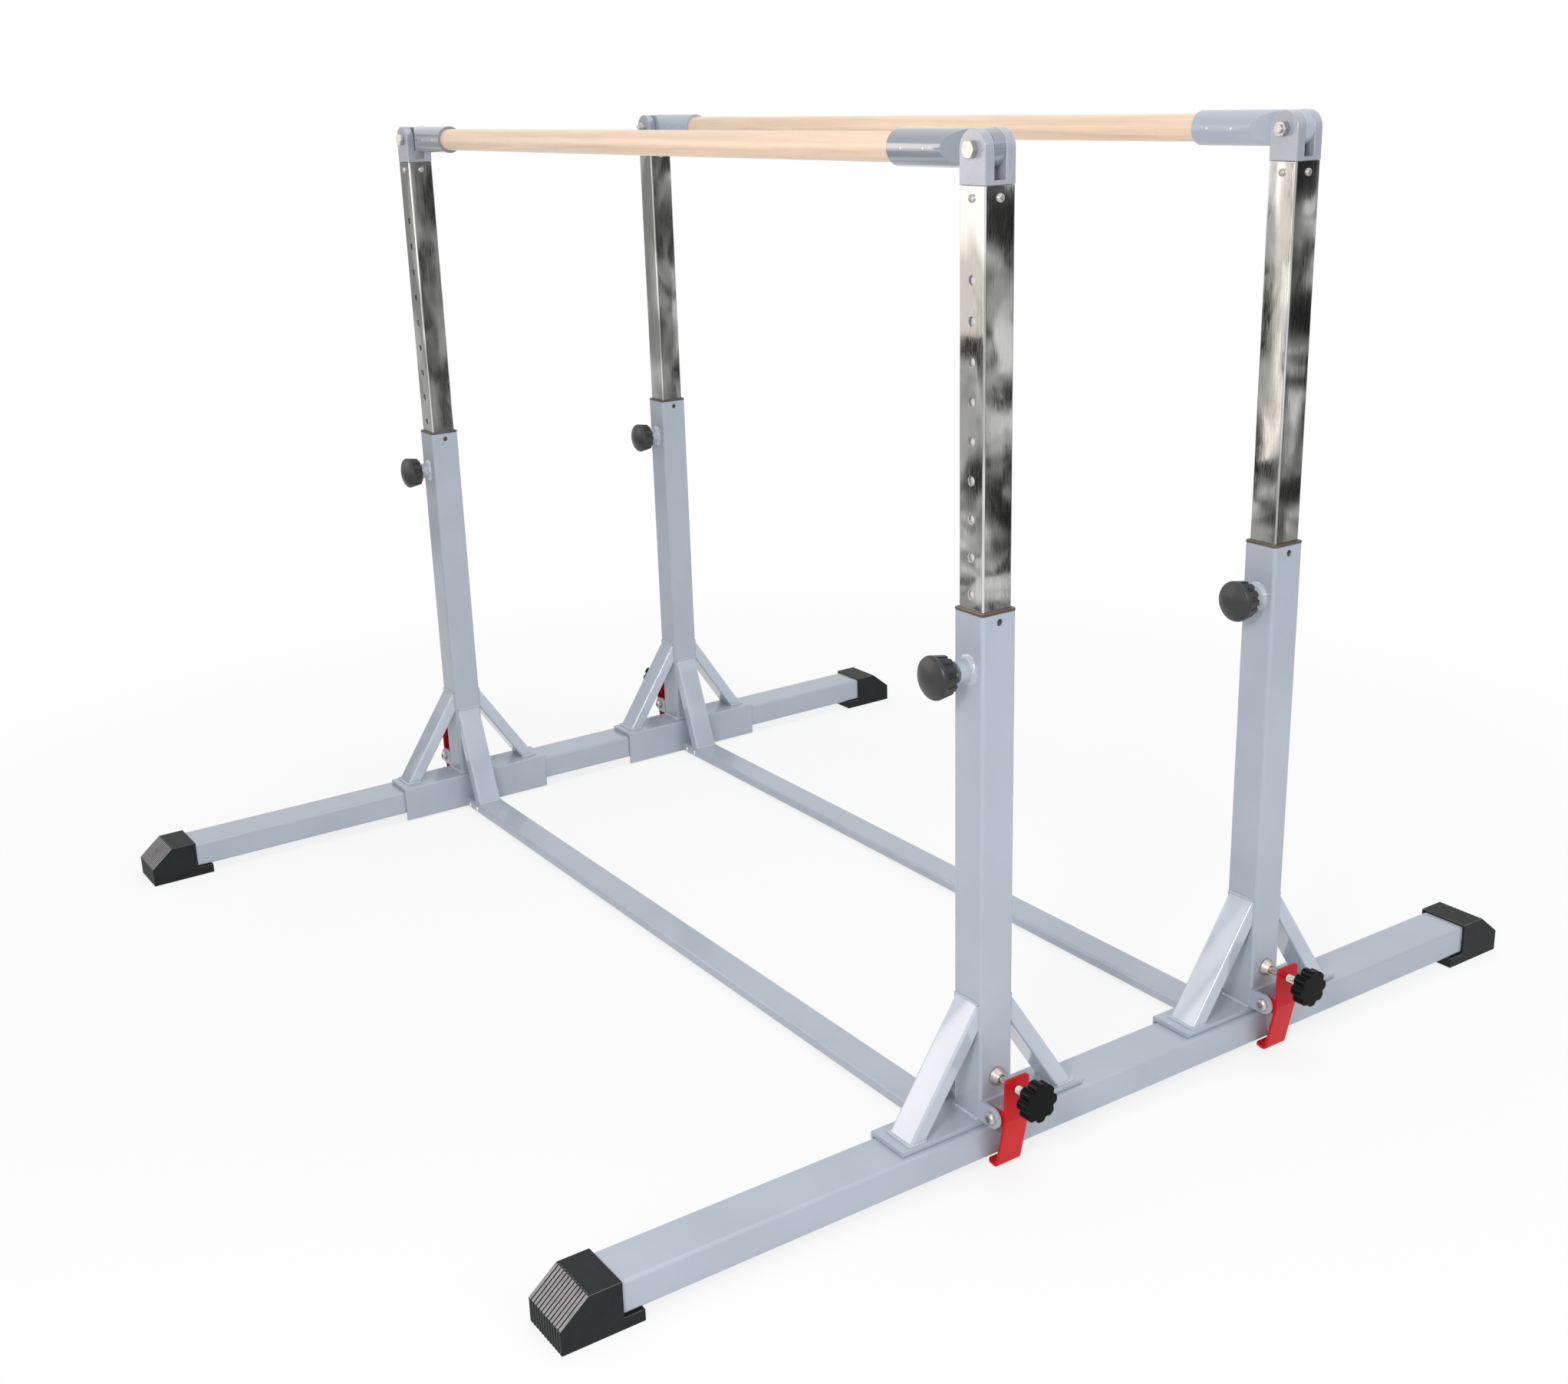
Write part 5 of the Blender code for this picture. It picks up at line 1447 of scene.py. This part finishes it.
class BARS_OT_studio(bpy.types.Operator):
    """Floor, white room, lamps, the cards that the shiny pieces mirror, and the camera"""
    bl_idname = "bars.studio"
    bl_label = "Studio"

    def execute(self, context):
        floor = prism(circle(FLOOR_DIAMETER, 96), -0.002, -0.001)
        floor.name = "studio_floor"
        floor.data.materials.append(studio_floor().material)
        white_world(ROOM_LIGHT)
        for name, place, aim, size, power, colour in LAMPS:
            soft_box(name, place, aim, (size, size), power, colour)
        for name, place, aim, size, colour, low, high, cells in CARDS:
            studio_card(name, place, aim, size, colour, low, high, cells)
        for name, place in FLOOR_CARDS:
            studio_card(name, (*place, 0.004), (0, 0), (2.6, 0.006), GREY, 0.03, 0.80, (7, 7, 7), 1.5)
        studio_camera()
        context.scene.view_settings.view_transform = "Standard"
        return {"FINISHED"}


STEPS = (BARS_OT_studio, BARS_OT_posts, BARS_OT_saddles, BARS_OT_base_rails, BARS_OT_floor_tubes,
         BARS_OT_sliding_tubes, BARS_OT_heads, BARS_OT_wooden_bars, BARS_OT_plungers, BARS_OT_clamps)


class BARS_PT_panel(bpy.types.Panel):
    """Lists the pieces of the parallel bars"""
    bl_idname = "BARS_PT_panel"
    bl_label = "Parallel Bars"
    bl_space_type = "VIEW_3D"
    bl_region_type = "UI"
    bl_category = "Parallel Bars"

    def draw(self, context):
        for group in (context.scene.bars_sizes, context.scene.bars_colours):
            for name in group.__annotations__:
                self.layout.prop(group, name)
        for step in STEPS:
            self.layout.operator(step.bl_idname)


CLASSES = (BarsSizes, BarsColours, *STEPS, BARS_PT_panel)


def register():
    for cls in CLASSES:
        bpy.utils.register_class(cls)
    bpy.types.Scene.bars_sizes = PointerProperty(type=BarsSizes)
    bpy.types.Scene.bars_colours = PointerProperty(type=BarsColours)


def unregister():
    del bpy.types.Scene.bars_colours
    del bpy.types.Scene.bars_sizes
    for cls in reversed(CLASSES):
        bpy.utils.unregister_class(cls)


def main():
    register()
    bpy.ops.bars.studio()
    bpy.ops.bars.posts()
    bpy.ops.bars.saddles()
    bpy.ops.bars.base_rails()
    bpy.ops.bars.floor_tubes()
    bpy.ops.bars.sliding_tubes()
    bpy.ops.bars.heads()
    bpy.ops.bars.wooden_bars()
    bpy.ops.bars.plungers()
    bpy.ops.bars.clamps()


if __name__ == "__main__":
    main()
